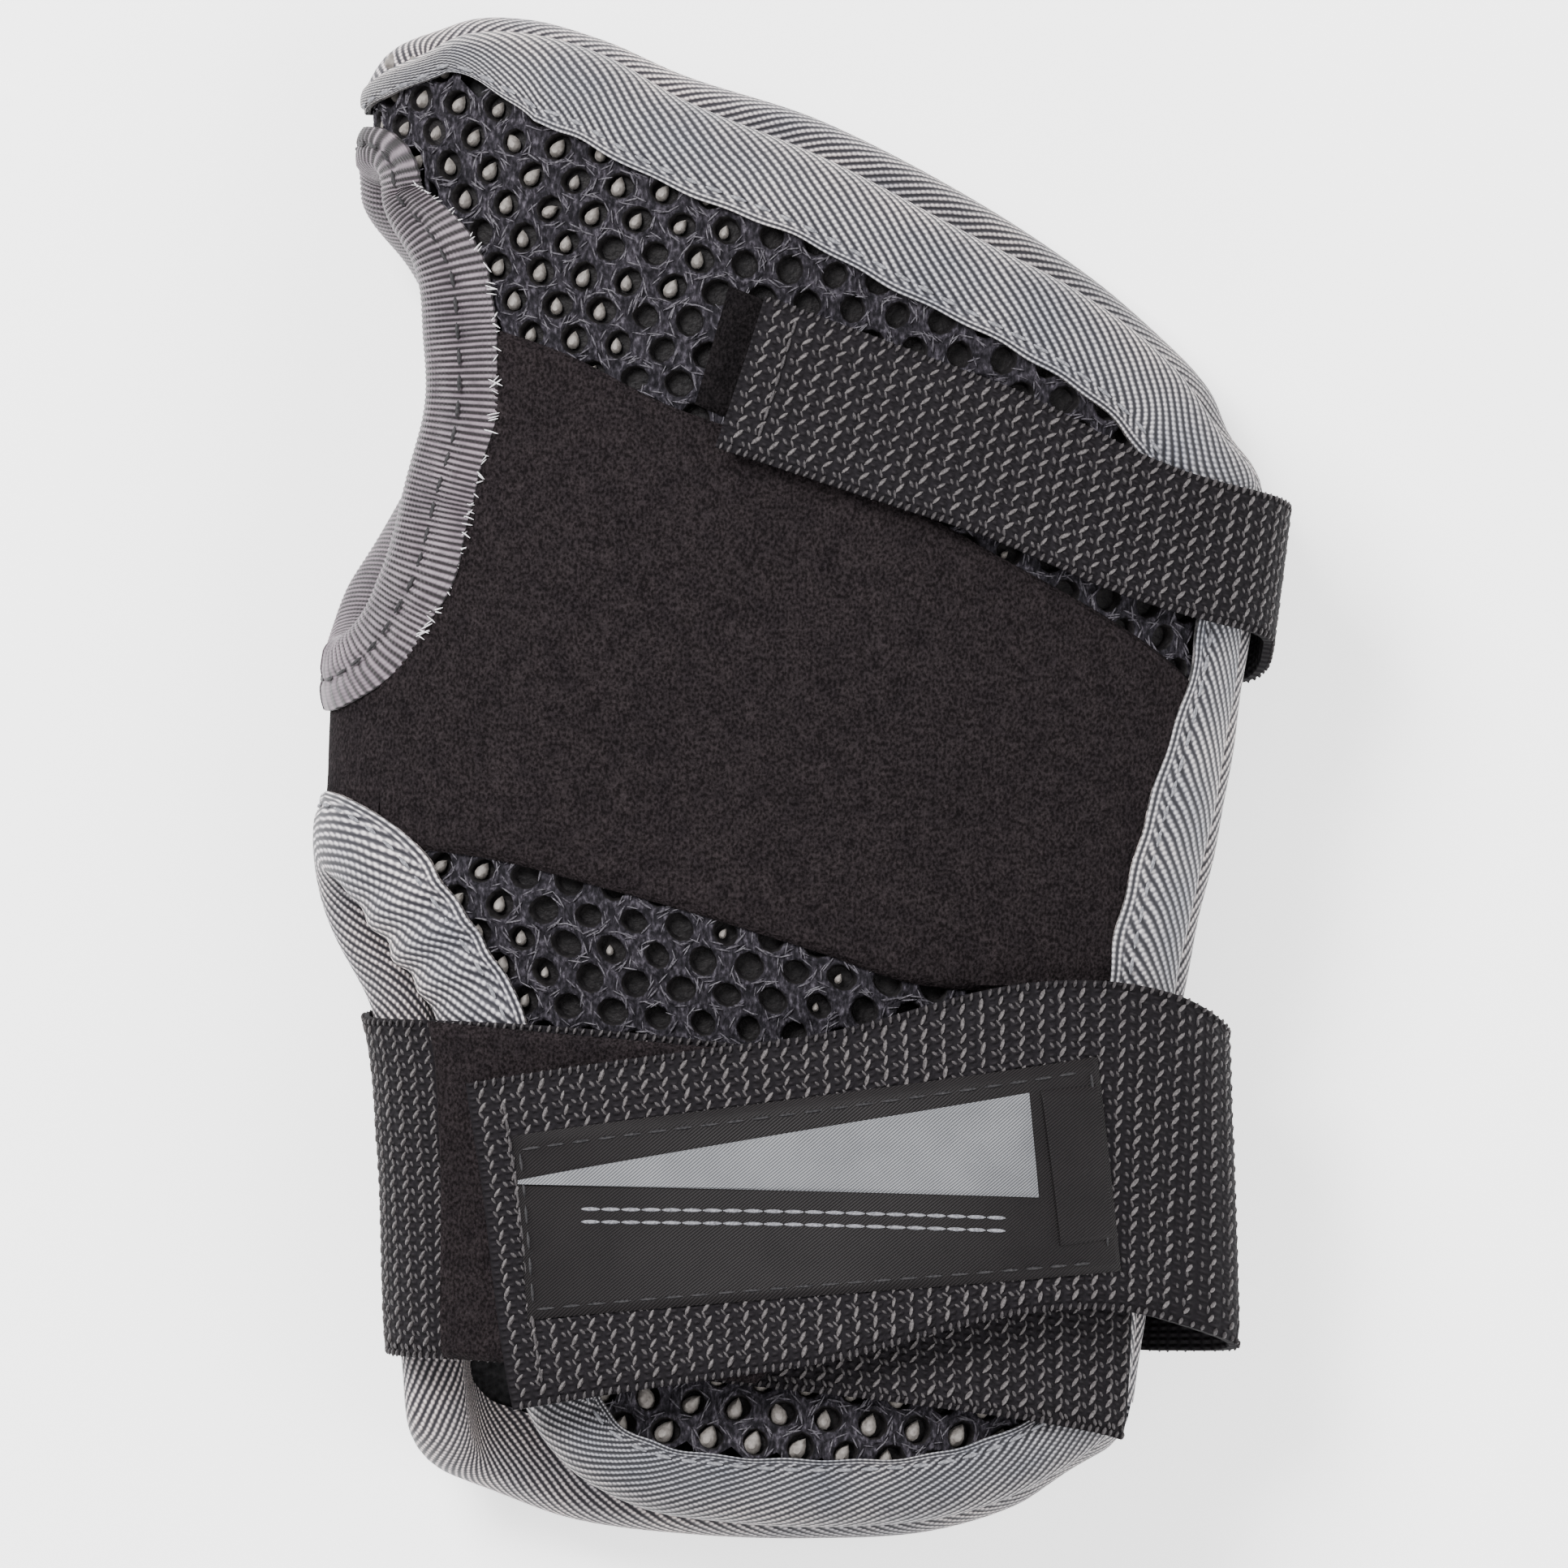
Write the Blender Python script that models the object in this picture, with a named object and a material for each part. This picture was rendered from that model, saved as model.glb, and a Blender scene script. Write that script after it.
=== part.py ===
"""Right-hand wrist guard: a fabric sleeve with palm splint, back stay, two hook straps and a wrist band.

The guard lies on its palm splint. +Z is the back of the hand, +Y points to the fingers and -X is the
thumb side. The sleeve is one smooth skin, read at an angle round the wrist and a distance along it:
0 degrees is the little-finger side, 90 the back of the hand, 180 the thumb side and 270 the palm.
Every layer is a patch of that skin, moved outwards or inwards by its place in the stack.
Lengths are in millimetres until the mesh is made.
"""

import math

import bmesh
import bpy
import numpy as np
from mathutils import Vector

MM = 0.001
# The middle of the whole guard's outline, which becomes the origin.
CENTRE = (1.91, -0.458, 0.0)

# Driving dimensions of the sleeve.
SIDE_HEIGHT = 22.0
PALM_HEIGHT = 2.9
BACK_ROUNDNESS = 2.1
PALM_ROUNDNESS = 3.6
THUMB_SIDE = ((-96, -44), (-70, -46.5), (-45, -47.5), (-29, -49.5), (-14, -56), (2, -56), (50, -52.5), (96, -50.5))
LITTLE_SIDE = ((-96, 38), (-70, 42), (-26, 47.5), (1, 53), (26, 56.5), (45, 58.5), (96, 59.5))
BACK_HEIGHT = ((-96, 43), (-60, 41), (-25, 41.5), (20, 44), (60, 43), (96, 41))
FLAT_PALM = (-60.0, 30.0)
CUFF_LIFT = 2.5
FINGER_LIFT = 7.0
SLEEVE_END = 96.0

# The stack of layers, each as (inner face, outer face) from the skin, outwards positive.
MESH_PANEL = (-2.6, 0.0)
BACK_LINING = (-3.7, -3.0)
STAY = (-5.9, -4.3)
POCKET = (-7.2, -6.4)
LOOP_PANEL = (0.5, 1.3)
PALM_PANEL = (-1.2, 0.0)
PALM_FOAM = (-3.6, -1.7)
PALM_LINING = (-4.8, -4.1)
ANCHOR = (0.6, 1.8)
HAND_HOOK = (1.8, 2.6)
HAND_WEBBING = (3.1, 4.6)
BAND_WEBBING = (2.1, 3.3)
BAND_LOOP = (3.8, 4.5)
WRIST_HOOK = (5.0, 5.7)
WRIST_WEBBING = (6.2, 7.7)
LABEL = (8.1, 8.6)
LABEL_PRINT = (8.9, 9.3)
BINDING_WIDTH = 8.0
BINDING_TAPE = 0.8
BINDING_GAP = 0.6
BINDING_EASE = 0.2
PALM_SEAM = 203
STRAP_SEAM = -30
STRAP_GAP = 0.8
ANCHOR_TURN = 22
WRIST_SLACK = 6.0

SPLINT_THICKNESS = 2.5
SPLINT_HALF_WIDTH = 21.0
SPLINT_CORNER = 15.0
SPLINT_ENDS = (-78.0, 56.0)
RIVET_PLACES = ((-12.0, -54.0), (12.0, -54.0), (-12.0, 25.0), (12.0, 25.0))
RIVET_SHANK = 1.8
RIVET_HEAD = 4.0

BLACK_MESH = (0.028, 0.026, 0.030, 1)
BLACK_BRUSHED = (0.020, 0.018, 0.019, 1)
BLACK_WEBBING = (0.022, 0.020, 0.020, 1)
GREY_TAPE = (0.26, 0.26, 0.285, 1)
MAUVE_TAPE = (0.28, 0.24, 0.26, 1)
HOOK_BLACK = (0.03, 0.03, 0.032, 1)
LABEL_GREY = (0.3, 0.31, 0.32, 1)


def smooth_through(knots):
    """A smooth curve of value against place, through the knots."""
    place = np.array([knot[0] for knot in knots], float)
    value = np.array([knot[1] for knot in knots], float)
    slope = np.gradient(value, place)

    def read(at):
        at = min(max(at, place[0]), place[-1])
        i = min(max(int(np.searchsorted(place, at)) - 1, 0), len(place) - 2)
        step = place[i + 1] - place[i]
        t = (at - place[i]) / step
        start = (2 * t**3 - 3 * t**2 + 1) * value[i] + (t**3 - 2 * t**2 + t) * step * slope[i]
        end = (3 * t**2 - 2 * t**3) * value[i + 1] + (t**3 - t**2) * step * slope[i + 1]
        return start + end

    return read


thumb_side = smooth_through(THUMB_SIDE)
little_side = smooth_through(LITTLE_SIDE)
back_height = smooth_through(BACK_HEIGHT)


def palm_lift(along):
    """How far the palm curves up from its flat middle, towards the cuff and towards the fingers."""
    if along < FLAT_PALM[0]:
        return CUFF_LIFT * ((FLAT_PALM[0] - along) / (SLEEVE_END + FLAT_PALM[0])) ** 2
    if along > FLAT_PALM[1]:
        return FINGER_LIFT * ((along - FLAT_PALM[1]) / (SLEEVE_END - FLAT_PALM[1])) ** 2
    return 0.0


def section(along):
    """Middle, half width, height over the sides and depth under them, at a distance along the sleeve."""
    left, right = thumb_side(along), little_side(along)
    depth = SIDE_HEIGHT - PALM_HEIGHT - palm_lift(along)
    return (left + right) / 2, (right - left) / 2, back_height(along) - SIDE_HEIGHT, depth


def on_skin(angle, along):
    middle, half_width, height, depth = section(along)
    turn = math.radians(angle)
    cosine, sine = math.cos(turn), math.sin(turn)
    roundness = BACK_ROUNDNESS if sine >= 0 else PALM_ROUNDNESS
    reach = (abs(cosine) ** roundness + abs(sine) ** roundness) ** (-1 / roundness)
    rise = height if sine >= 0 else depth
    return np.array([middle + half_width * reach * cosine, along, SIDE_HEIGHT + rise * reach * sine])


def skin_slopes(angle, along):
    round_it = (on_skin(angle + 0.5, along) - on_skin(angle - 0.5, along)) / 1.0
    along_it = on_skin(angle, along + 0.5) - on_skin(angle, along - 0.5)
    return round_it, along_it


def skin(angle, along, out=0.0):
    """The point at this angle and distance, moved outwards from the skin."""
    round_it, along_it = skin_slopes(angle, along)
    outwards = np.cross(along_it, round_it)
    outwards = outwards / np.linalg.norm(outwards)
    if outwards @ (on_skin(angle, along) - np.array([section(along)[0], along, SIDE_HEIGHT])) < 0:
        outwards = -outwards
    return on_skin(angle, along) + outwards * out


def angle_at(across, along, palm=False):
    """The skin's angle where it lies at this distance across, on the back or on the palm."""
    middle, half_width, _, _ = section(along)
    share = min(max((across - middle) / half_width, -1.0), 1.0)
    roundness = PALM_ROUNDNESS if palm else BACK_ROUNDNESS
    rise = (1 - abs(share) ** roundness) ** (1 / roundness)
    angle = math.degrees(math.atan2(rise, share))
    return 360 - angle if palm else angle


def back_of(points):
    return [(angle_at(x, y), y) for x, y in points]


def palm_of(points):
    return [(angle_at(x, y, palm=True), y) for x, y in points]


def curve_through(points):
    """A smooth curve of (angle, along) over 0 to 1, through the points, spaced by distance on the skin."""
    points = [np.array(point, float) for point in points]
    places = [on_skin(*point) for point in points]
    steps = [np.linalg.norm(b - a) for a, b in zip(places, places[1:])]
    at = np.concatenate([[0.0], np.cumsum(steps)])
    at = at / at[-1]
    angle = smooth_through(list(zip(at, [point[0] for point in points])))
    along = smooth_through(list(zip(at, [point[1] for point in points])))
    return lambda t: np.array([angle(t), along(t)])


def patch(left, right, bottom, top):
    """The (angle, along) of a patch between four edge curves, at its share across and up."""
    corners = bottom(0), bottom(1), top(0), top(1)

    def read(u, v):
        sides = (1 - u) * left(v) + u * right(v) + (1 - v) * bottom(u) + v * top(u)
        flat = (1 - u) * (1 - v) * corners[0] + u * (1 - v) * corners[1]
        return sides - flat - (1 - u) * v * corners[2] - u * v * corners[3]

    return read


def material(name, colour, roughness, metallic=0.0):
    made = bpy.data.materials.new(name)
    made.use_nodes = True
    shader = made.node_tree.nodes["Principled BSDF"]
    shader.inputs["Base Color"].default_value = colour
    shader.inputs["Roughness"].default_value = roughness
    shader.inputs["Metallic"].default_value = metallic
    return made


def add_node(name, mesh_maker, look, origin=CENTRE):
    """One closed solid, its faces turned outwards, with its own material and its origin where asked."""
    shape = bmesh.new()
    mesh_maker(shape)
    bmesh.ops.recalc_face_normals(shape, faces=shape.faces)
    if shape.calc_volume(signed=True) < 0:
        bmesh.ops.reverse_faces(shape, faces=shape.faces)
    start = Vector(origin)
    for vertex in shape.verts:
        vertex.co = (vertex.co - start) * MM
    mesh = bpy.data.meshes.new(name)
    shape.to_mesh(mesh)
    shape.free()
    node = bpy.data.objects.new(name, mesh)
    node.location = (start - Vector(CENTRE)) * MM
    bpy.context.scene.collection.objects.link(node)
    mesh.materials.append(material(name, *look))
    mesh.shade_smooth()
    mesh.set_sharp_from_angle(angle=math.radians(35))
    return node


def slab(outer, inner):
    """Makes a closed slab from two matching grids of points."""

    def make(shape):
        rows, columns = len(outer), len(outer[0])
        faces = [[[shape.verts.new(point) for point in row] for row in grid] for grid in (outer, inner)]
        for grid in faces:
            for i in range(rows - 1):
                for j in range(columns - 1):
                    shape.faces.new((grid[i][j], grid[i][j + 1], grid[i + 1][j + 1], grid[i + 1][j]))
        rim = [(0, j) for j in range(columns)] + [(i, columns - 1) for i in range(1, rows)]
        rim += [(rows - 1, j) for j in range(columns - 2, -1, -1)] + [(i, 0) for i in range(rows - 2, 0, -1)]
        for (i, j), (k, m) in zip(rim, rim[1:] + rim[:1]):
            shape.faces.new((faces[0][i][j], faces[0][k][m], faces[1][k][m], faces[1][i][j]))

    return make


def layer(name, place, stack, look, across=14, up=12):
    """A patch of the skin as a slab between the two faces of its place in the stack."""
    shares = [(i / up, [j / across for j in range(across + 1)]) for i in range(up + 1)]
    spots = [[place(u, v) for u in row] for v, row in shares]
    outer = [[skin(*spot, stack[1]) for spot in row] for row in spots]
    inner = [[skin(*spot, stack[0]) for spot in row] for row in spots]
    return add_node(name, slab(outer, inner), look)


def loft(rings, caps):
    """Makes a closed solid from matching rings of points. caps lists the faces of each end, by place in the ring."""

    def make(shape):
        made = [[shape.verts.new(point) for point in ring] for ring in rings]
        count = len(made[0])
        for low, high in zip(made, made[1:]):
            for j in range(count):
                k = (j + 1) % count
                shape.faces.new((low[j], low[k], high[k], high[j]))
        for ring in (made[0], made[-1]):
            for cap in caps:
                shape.faces.new([ring[j] for j in cap])

    return make


def binding(name, edge, inwards, depth, look, stations=16, width=BINDING_WIDTH):
    """Folded tape round a bound edge. inwards is 1 where the panel lies left of the edge's course, else -1."""
    rings = []
    for i in range(stations + 1):
        t = i / stations
        spot = edge(t)
        course = skin(*edge(min(t + 0.01, 1)), 0) - skin(*edge(max(t - 0.01, 0)), 0)
        round_it, along_it = skin_slopes(*spot)
        outwards = skin(*spot, 1) - skin(*spot, 0)
        into = np.cross(outwards, course / np.linalg.norm(course)) * inwards
        step = np.linalg.lstsq(np.array([round_it, along_it]).T, into, rcond=None)[0]

        def point(inset, out):
            return skin(*(spot + step * inset), out)

        over, under = BINDING_GAP, -depth - BINDING_GAP
        top, bottom = over + BINDING_TAPE, under - BINDING_TAPE
        ring = [point(width, top), point(width / 2, top), point(0.6, top), point(-0.9, over)]
        ring += [point(-0.9, under), point(0.6, bottom), point(width, bottom), point(width, under)]
        ring += [point(0.1, under), point(0.1, over), point(width / 2, over), point(width, over)]
        rings.append(ring)
    caps = [(0, 1, 10, 11), (1, 2, 9, 10), (2, 3, 9), (3, 4, 8, 9), (4, 5, 8), (5, 6, 7, 8)]
    return add_node(name, loft(rings, caps), look)


def strap(name, near, far, stack, look, pieces=10, bulge=None, origin=CENTRE):
    """Webbing between two edge curves of (angle, along). bulge lifts it off the skin at a share along and across."""
    outer, inner = [], []
    for i in range(pieces + 1):
        t = i / pieces
        spots = [near(t) + (far(t) - near(t)) * j / 3 for j in range(4)]
        lifts = [bulge(t, j / 3) if bulge else 0.0 for j in range(4)]
        outer.append([skin(*spot, stack[1] + lift) for spot, lift in zip(spots, lifts)])
        inner.append([skin(*spot, stack[0] + lift) for spot, lift in zip(spots, lifts)])
    return add_node(name, slab(outer, inner), look, origin)


def stretch(curve, start, end):
    """The part of a curve between two shares of it."""
    return lambda t: curve(start + (end - start) * t)


for old in list(bpy.data.objects):
    bpy.data.objects.remove(old, do_unlink=True)

# The back of the hand: its four edges, as the bound edge of the cloth runs.
BACK_CUFF = back_of([(-30, -80), (-27, -83.5), (-19, -88), (-7, -90), (8, -90.5), (22, -89), (32, -85), (38.5, -79)])
BACK_NOTCH_SIDE = back_of([(-30, -80), (-34, -69), (-38, -53), (-41.5, -31), (-44, -24), (-50.5, -15)])
BACK_THUMB = back_of([(-49.5, 25), (-46.5, 36), (-44.5, 44), (-44.2, 54), (-45.5, 64), (-49, 71)])
BACK_FINGERS = back_of(
    [(-45.5, 89), (-40, 92.5), (-32, 91.8), (-24, 88.3), (-14, 82.8), (3, 75.8), (22, 66), (37, 58), (47, 50), (53, 42)]
)
BACK_LITTLE_ANGLE = 12
PALM_LITTLE_ANGLE = -2
back_little = curve_through([(BACK_LITTLE_ANGLE, -79), (BACK_LITTLE_ANGLE, -30), (BACK_LITTLE_ANGLE, 37)])
back_cuff = curve_through(BACK_CUFF[:-1] + [(BACK_LITTLE_ANGLE, -79)])
back_fingers = curve_through(BACK_FINGERS + [(BACK_LITTLE_ANGLE, 37)])
back_thumb_side = curve_through(
    BACK_NOTCH_SIDE + back_of([(-50.5, 0), (-50.8, 14)]) + BACK_THUMB + back_of([(-48.5, 79)]) + BACK_FINGERS[:1]
)
back_patch = patch(back_thumb_side, back_little, back_cuff, back_fingers)

# The palm, read from the thumb side to the little-finger side through 270 degrees.
PALM_LEFT_ANGLE = 187
PALM_CUFF = palm_of([(-37, -87.5), (-27, -91), (-12, -93), (3, -93.5), (18, -92.5), (28, -89.5), (36, -84.5)])
PALM_THUMB = palm_of([(-46.5, 30), (-42.5, 43), (-42, 54), (-45.5, 66)])
PALM_FINGERS = palm_of(
    [(-46, 89), (-34, 92), (-24, 90), (-14, 86.5), (3.5, 79.5), (23.5, 69.5), (38.5, 61.5), (49, 53)]
)
PALM_NOTCH_SIDE = [(PALM_LEFT_ANGLE, -79), (PALM_LEFT_ANGLE, -50), (PALM_LEFT_ANGLE, -29), (PALM_LEFT_ANGLE + 3, -16)]
palm_little = curve_through([(360 + PALM_LITTLE_ANGLE, y) for y in (-79, -30, 39)])
palm_cuff = curve_through([(PALM_LEFT_ANGLE, -79)] + PALM_CUFF + [(360 + PALM_LITTLE_ANGLE, -79)])
palm_fingers = curve_through(PALM_FINGERS + [(360 + PALM_LITTLE_ANGLE, 39)])
palm_thumb_side = curve_through(
    PALM_NOTCH_SIDE + palm_of([(-51.5, 0), (-51.5, 14)]) + PALM_THUMB + palm_of([(-49, 79)]) + PALM_FINGERS[:1]
)
palm_patch = patch(palm_thumb_side, palm_little, palm_cuff, palm_fingers)


def within(place, edge):
    """The same patch, kept back from its edges by a share of its size."""
    return lambda u, v: place(edge + (1 - 2 * edge) * u, edge + (1 - 2 * edge) * v)


def four_corners(thumb_low, little_low, thumb_high, little_high, find=back_of):
    low, high = find([thumb_low, little_low]), find([thumb_high, little_high])
    return patch(
        curve_through([low[0], high[0]]),
        curve_through([low[1], high[1]]),
        curve_through(low),
        curve_through(high),
    )


def turned(profile, places, sides=12):
    """Rings of a turned shape, its (radius, height) profile closed on itself, at each place."""

    def make(shape):
        for across, along in places:
            rings = []
            for i in range(sides):
                turn = 2 * math.pi * i / sides
                ring = [
                    (across + radius * math.cos(turn), along + radius * math.sin(turn), height)
                    for radius, height in profile
                ]
                rings.append([shape.verts.new(point) for point in ring])
            for i in range(sides):
                here, there = rings[i], rings[(i + 1) % sides]
                for j in range(len(profile)):
                    k = (j + 1) % len(profile)
                    shape.faces.new((here[j], there[j], there[k], here[k]))
            bmesh.ops.remove_doubles(shape, verts=shape.verts, dist=1e-5)

    return make


def cut(node, name, profile):
    """Cuts the turned shape out of the node at each rivet."""
    cutter = add_node(name, turned(profile, RIVET_PLACES), (BLACK_MESH, 0.9))
    cutter.hide_render = True
    cutter.display_type = "WIRE"
    hole = node.modifiers.new(name, "BOOLEAN")
    hole.operation = "DIFFERENCE"
    hole.object = cutter


def splint_rings():
    """Sections of the palm splint, its ends rounded and curving up with the palm."""
    low, high = SPLINT_ENDS
    rings = []
    places = [low, low + 1.5, low + 5, low + 10, -60, -20, 10, 30, 40, high - 10, high - 5, high - 1.5, high]
    for along in places:
        inset = min(along - low, high - along, SPLINT_CORNER)
        half = SPLINT_HALF_WIDTH - SPLINT_CORNER + math.sqrt(SPLINT_CORNER**2 - (SPLINT_CORNER - inset) ** 2)
        under = palm_lift(along)
        over = under + SPLINT_THICKNESS
        edge = 0.8
        rings.append(
            [
                (-half + edge, along, under),
                (half - edge, along, under),
                (half, along, under + edge),
                (half, along, over - 0.3),
                (half - 0.3, along, over),
                (-half + 0.3, along, over),
                (-half, along, over - 0.3),
                (-half, along, under + edge),
            ]
        )
    return rings


def make_back():
    black = (BLACK_MESH, 0.9)
    layer("dorsal_mesh_panel", within(back_patch, 0.022), MESH_PANEL, black, across=16, up=20)
    layer("dorsal_lining", within(back_patch, 0.026), BACK_LINING, black, across=16, up=20)
    layer("dorsal_stay", four_corners((-11, -72), (11, -72), (-8, 40), (14, 40)), STAY, ((0.5, 0.5, 0.52, 1), 0.4, 0.9), 4, 10)
    layer("stay_pocket", four_corners((-15, -76), (15, -76), (-12, 44), (18, 44)), POCKET, black, 5, 10)
    thumb = curve_through(back_of([(-46.5, -8), (-46, 7), (-39, 26), (-35.2, 42), (-35, 55)]))
    little = curve_through([(35, -25), (34, 0), (33, 26)])
    low = curve_through(back_of([(-46.5, -8), (-27, -12), (3, -21), (15, -25)]) + [(35, -25)])
    high = curve_through(back_of([(-35, 55), (-15, 46), (0, 48)]) + [(33, 26)])
    layer("dorsal_loop_panel", patch(thumb, little, low, high), LOOP_PANEL, (BLACK_BRUSHED, 1.0), 12, 8)


def make_palm():
    panel = layer("palm_panel", within(palm_patch, 0.027), PALM_PANEL, (BLACK_BRUSHED, 0.8), across=18, up=18)
    cut(panel, "panel_holes", [(0, 2), (RIVET_SHANK + 0.4, 2), (RIVET_SHANK + 0.4, 5.2), (0, 5.2)])
    foam = layer("palm_foam", within(palm_patch, 0.18), PALM_FOAM, ((0.5, 0.48, 0.44, 1), 0.9), across=12, up=8)
    cut(foam, "foam_holes", [(0, 3), (RIVET_HEAD + 0.9, 3), (RIVET_HEAD + 0.9, 8), (0, 8)])
    layer("palm_lining", within(palm_patch, 0.027), PALM_LINING, (BLACK_MESH, 0.9), across=18, up=18)
    splint = add_node("palm_splint", loft(splint_rings(), [range(8)]), ((0.012, 0.012, 0.013, 1), 0.35))
    bore, sink = RIVET_SHANK + 0.4, RIVET_HEAD + 0.4
    cut(splint, "splint_holes", [(0, -1), (sink, -1), (sink, 1.3), (bore, 1.3), (bore, 4), (0, 4)])
    steel = ((0.45, 0.45, 0.46, 1), 0.35, 1.0)
    head = [(0, 0.3), (RIVET_HEAD - 0.6, 0.3), (RIVET_HEAD, 0.9), (RIVET_SHANK, 0.9)]
    rivet = head + [(RIVET_SHANK, 5.3), (RIVET_SHANK + 0.8, 5.3), (RIVET_SHANK + 0.5, 5.9), (0, 5.9)]
    inner, outer = RIVET_SHANK + 0.3, RIVET_HEAD
    washer = [(inner, 4.4), (outer, 4.4), (outer, 5.0), (inner, 5.0)]
    for number, place in enumerate(RIVET_PLACES, 1):
        add_node(f"splint_rivet_{number}", turned(rivet, [place]), steel)
        add_node(f"rivet_washer_{number}", turned(washer, [place]), steel)


def make_bridges():
    """The two cloth bridges that join back and palm, under and over the thumb hole."""
    for name, back_seam, low, high, look in (
        ("thumb_bridge", 152, -11.0, 14.5, (BLACK_BRUSHED, 1.0)),
        ("index_bridge", 159, 78.0, 86.5, (BLACK_MESH, 0.9)),
    ):
        place = patch(
            curve_through([(back_seam, low), (back_seam, high)]),
            curve_through([(PALM_SEAM, low), (PALM_SEAM, high)]),
            curve_through([(back_seam, low), (180, low), (PALM_SEAM, low)]),
            curve_through([(back_seam, high), (180, high), (PALM_SEAM, high)]),
        )
        layer(name, place, MESH_PANEL, look, 8, 3)


def make_bindings():
    grey = (GREY_TAPE, 0.7)
    mauve = (MAUVE_TAPE, 0.6)
    back_depth, palm_depth = BINDING_EASE - BACK_LINING[0], -PALM_LINING[0]
    cuff = curve_through(BACK_NOTCH_SIDE[::-1] + BACK_CUFF[1:-1] + [(BACK_LITTLE_ANGLE + 6, -80)])
    binding("cuff_binding_dorsal", stretch(cuff, 0.05, 1), 1, back_depth, grey, 28)
    palm_cuff_edge = curve_through(PALM_NOTCH_SIDE[::-1] + PALM_CUFF + [(360 + PALM_LITTLE_ANGLE - 8, -80)])
    binding("cuff_binding_palm", palm_cuff_edge, -1, palm_depth, grey, 28)
    binding("finger_binding_dorsal", back_fingers, -1, back_depth, grey, 22)
    binding("finger_binding_palm", stretch(palm_fingers, 0, 0.97), 1, palm_depth, grey, 22)
    binding("ulnar_binding_dorsal", stretch(back_little, 0.09, 0.91), 1, back_depth, grey, 14)
    binding("ulnar_binding_palm", stretch(palm_little, 0.09, 0.91), -1, palm_depth, grey, 14)
    thumb = curve_through([(175, 17), (167, 17.5)] + BACK_THUMB + [(167, 74.5), (175, 75)])
    binding("thumb_binding_dorsal", thumb, -1, back_depth, mauve, 20)
    thumb = curve_through([(185, 17), (193, 17.5)] + PALM_THUMB + [(193, 74.5), (185, 75)])
    binding("thumb_binding_palm", thumb, 1, palm_depth, mauve, 20)
    notch = curve_through([(161, -13.5), (172, -12.5), (183, -13)])
    binding("notch_binding", notch, -1, back_depth, grey, 8)


def strap_between(name, upper, lower, stack, look, pieces=10, bulge=None, origin=CENTRE):
    return strap(name, curve_through(upper), curve_through(lower), stack, look, pieces, bulge, origin)


def make_wrist_band():
    webbing = (BLACK_WEBBING, 0.8)
    upper = [(212, -27.5), (180, -28.5)] + back_of([(-38, -29.5), (0, -33), (30, -36.5), (40.5, -38)])
    lower = [(212, -69), (180, -70.5)] + back_of([(-36, -71.5), (0, -75), (30, -79), (38.5, -81)])
    strap_between("wrist_band_webbing", upper, lower, BAND_WEBBING, webbing, 20)
    upper = back_of([(-37, -30.5), (0, -34), (34, -38)])
    lower = back_of([(-35, -70.5), (0, -74), (33, -78.5)])
    strap_between("wrist_band_loop_tape", upper, lower, BAND_LOOP, (BLACK_BRUSHED, 1.0), 12)
    step = BAND_WEBBING[0] - ANCHOR[0]
    strap_between(
        "wrist_band_anchor",
        [(213, -27.5), (236, -27)],
        [(213, -69), (236, -68)],
        ANCHOR,
        webbing,
        5,
        lambda t, _: step * (1 - t) ** 2,
    )


def hinge_point(upper, lower, out):
    """The middle of the fold line between two edge points of a strap, on its outer face."""
    return (skin(*upper, out) + skin(*lower, out)) / 2


def make_strap(name, tab, wrap, webbing, slack):
    """A strap in two hinged lengths and its sewn end: tab over the back, wrap round the little-finger side."""
    look = (BLACK_WEBBING, 0.8)
    upper, lower = back_of(tab[0]), back_of(tab[1])
    fold = hinge_point(upper[-1], lower[-1], webbing[1])
    strap_between(name + "_tab", upper, lower, webbing, look, 12, origin=fold)
    upper = [(upper[-1][0] - STRAP_GAP, upper[-1][1])] + wrap[0]
    lower = [(lower[-1][0] - STRAP_GAP, lower[-1][1])] + wrap[1]
    seam = hinge_point(upper[-1], lower[-1], webbing[1])

    def loosen(share, across):
        return slack * across * math.sin(math.pi * share) ** 2

    strap_between(name + "_wrap", upper, lower, webbing, look, 8, loosen, seam)
    step = webbing[0] - ANCHOR[0]
    upper = [(upper[-1][0] - STRAP_GAP - turn, upper[-1][1]) for turn in (0, ANCHOR_TURN)]
    lower = [(lower[-1][0] - STRAP_GAP - turn, lower[-1][1]) for turn in (0, ANCHOR_TURN)]
    strap_between(name + "_anchor", upper, lower, ANCHOR, look, 5, lambda t, _: step * (1 - t) ** 2)
    return fold


def make_hand_strap():
    tab = [(-2.7, 59), (25, 48.5), (50, 37)], [(-8.7, 40.5), (20, 31), (48.5, 20)]
    wrap = [(0, 32), (STRAP_SEAM, 27)], [(0, 15), (STRAP_SEAM, 10)]
    fold = make_strap("hand_strap", tab, wrap, HAND_WEBBING, 0.0)
    upper, lower = back_of([(-1, 56.5), (22, 48)]), back_of([(-6, 41.5), (17, 33.5)])
    strap_between("hand_strap_hook", upper, lower, HAND_HOOK, (HOOK_BLACK, 0.5), 4, origin=fold)


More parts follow.
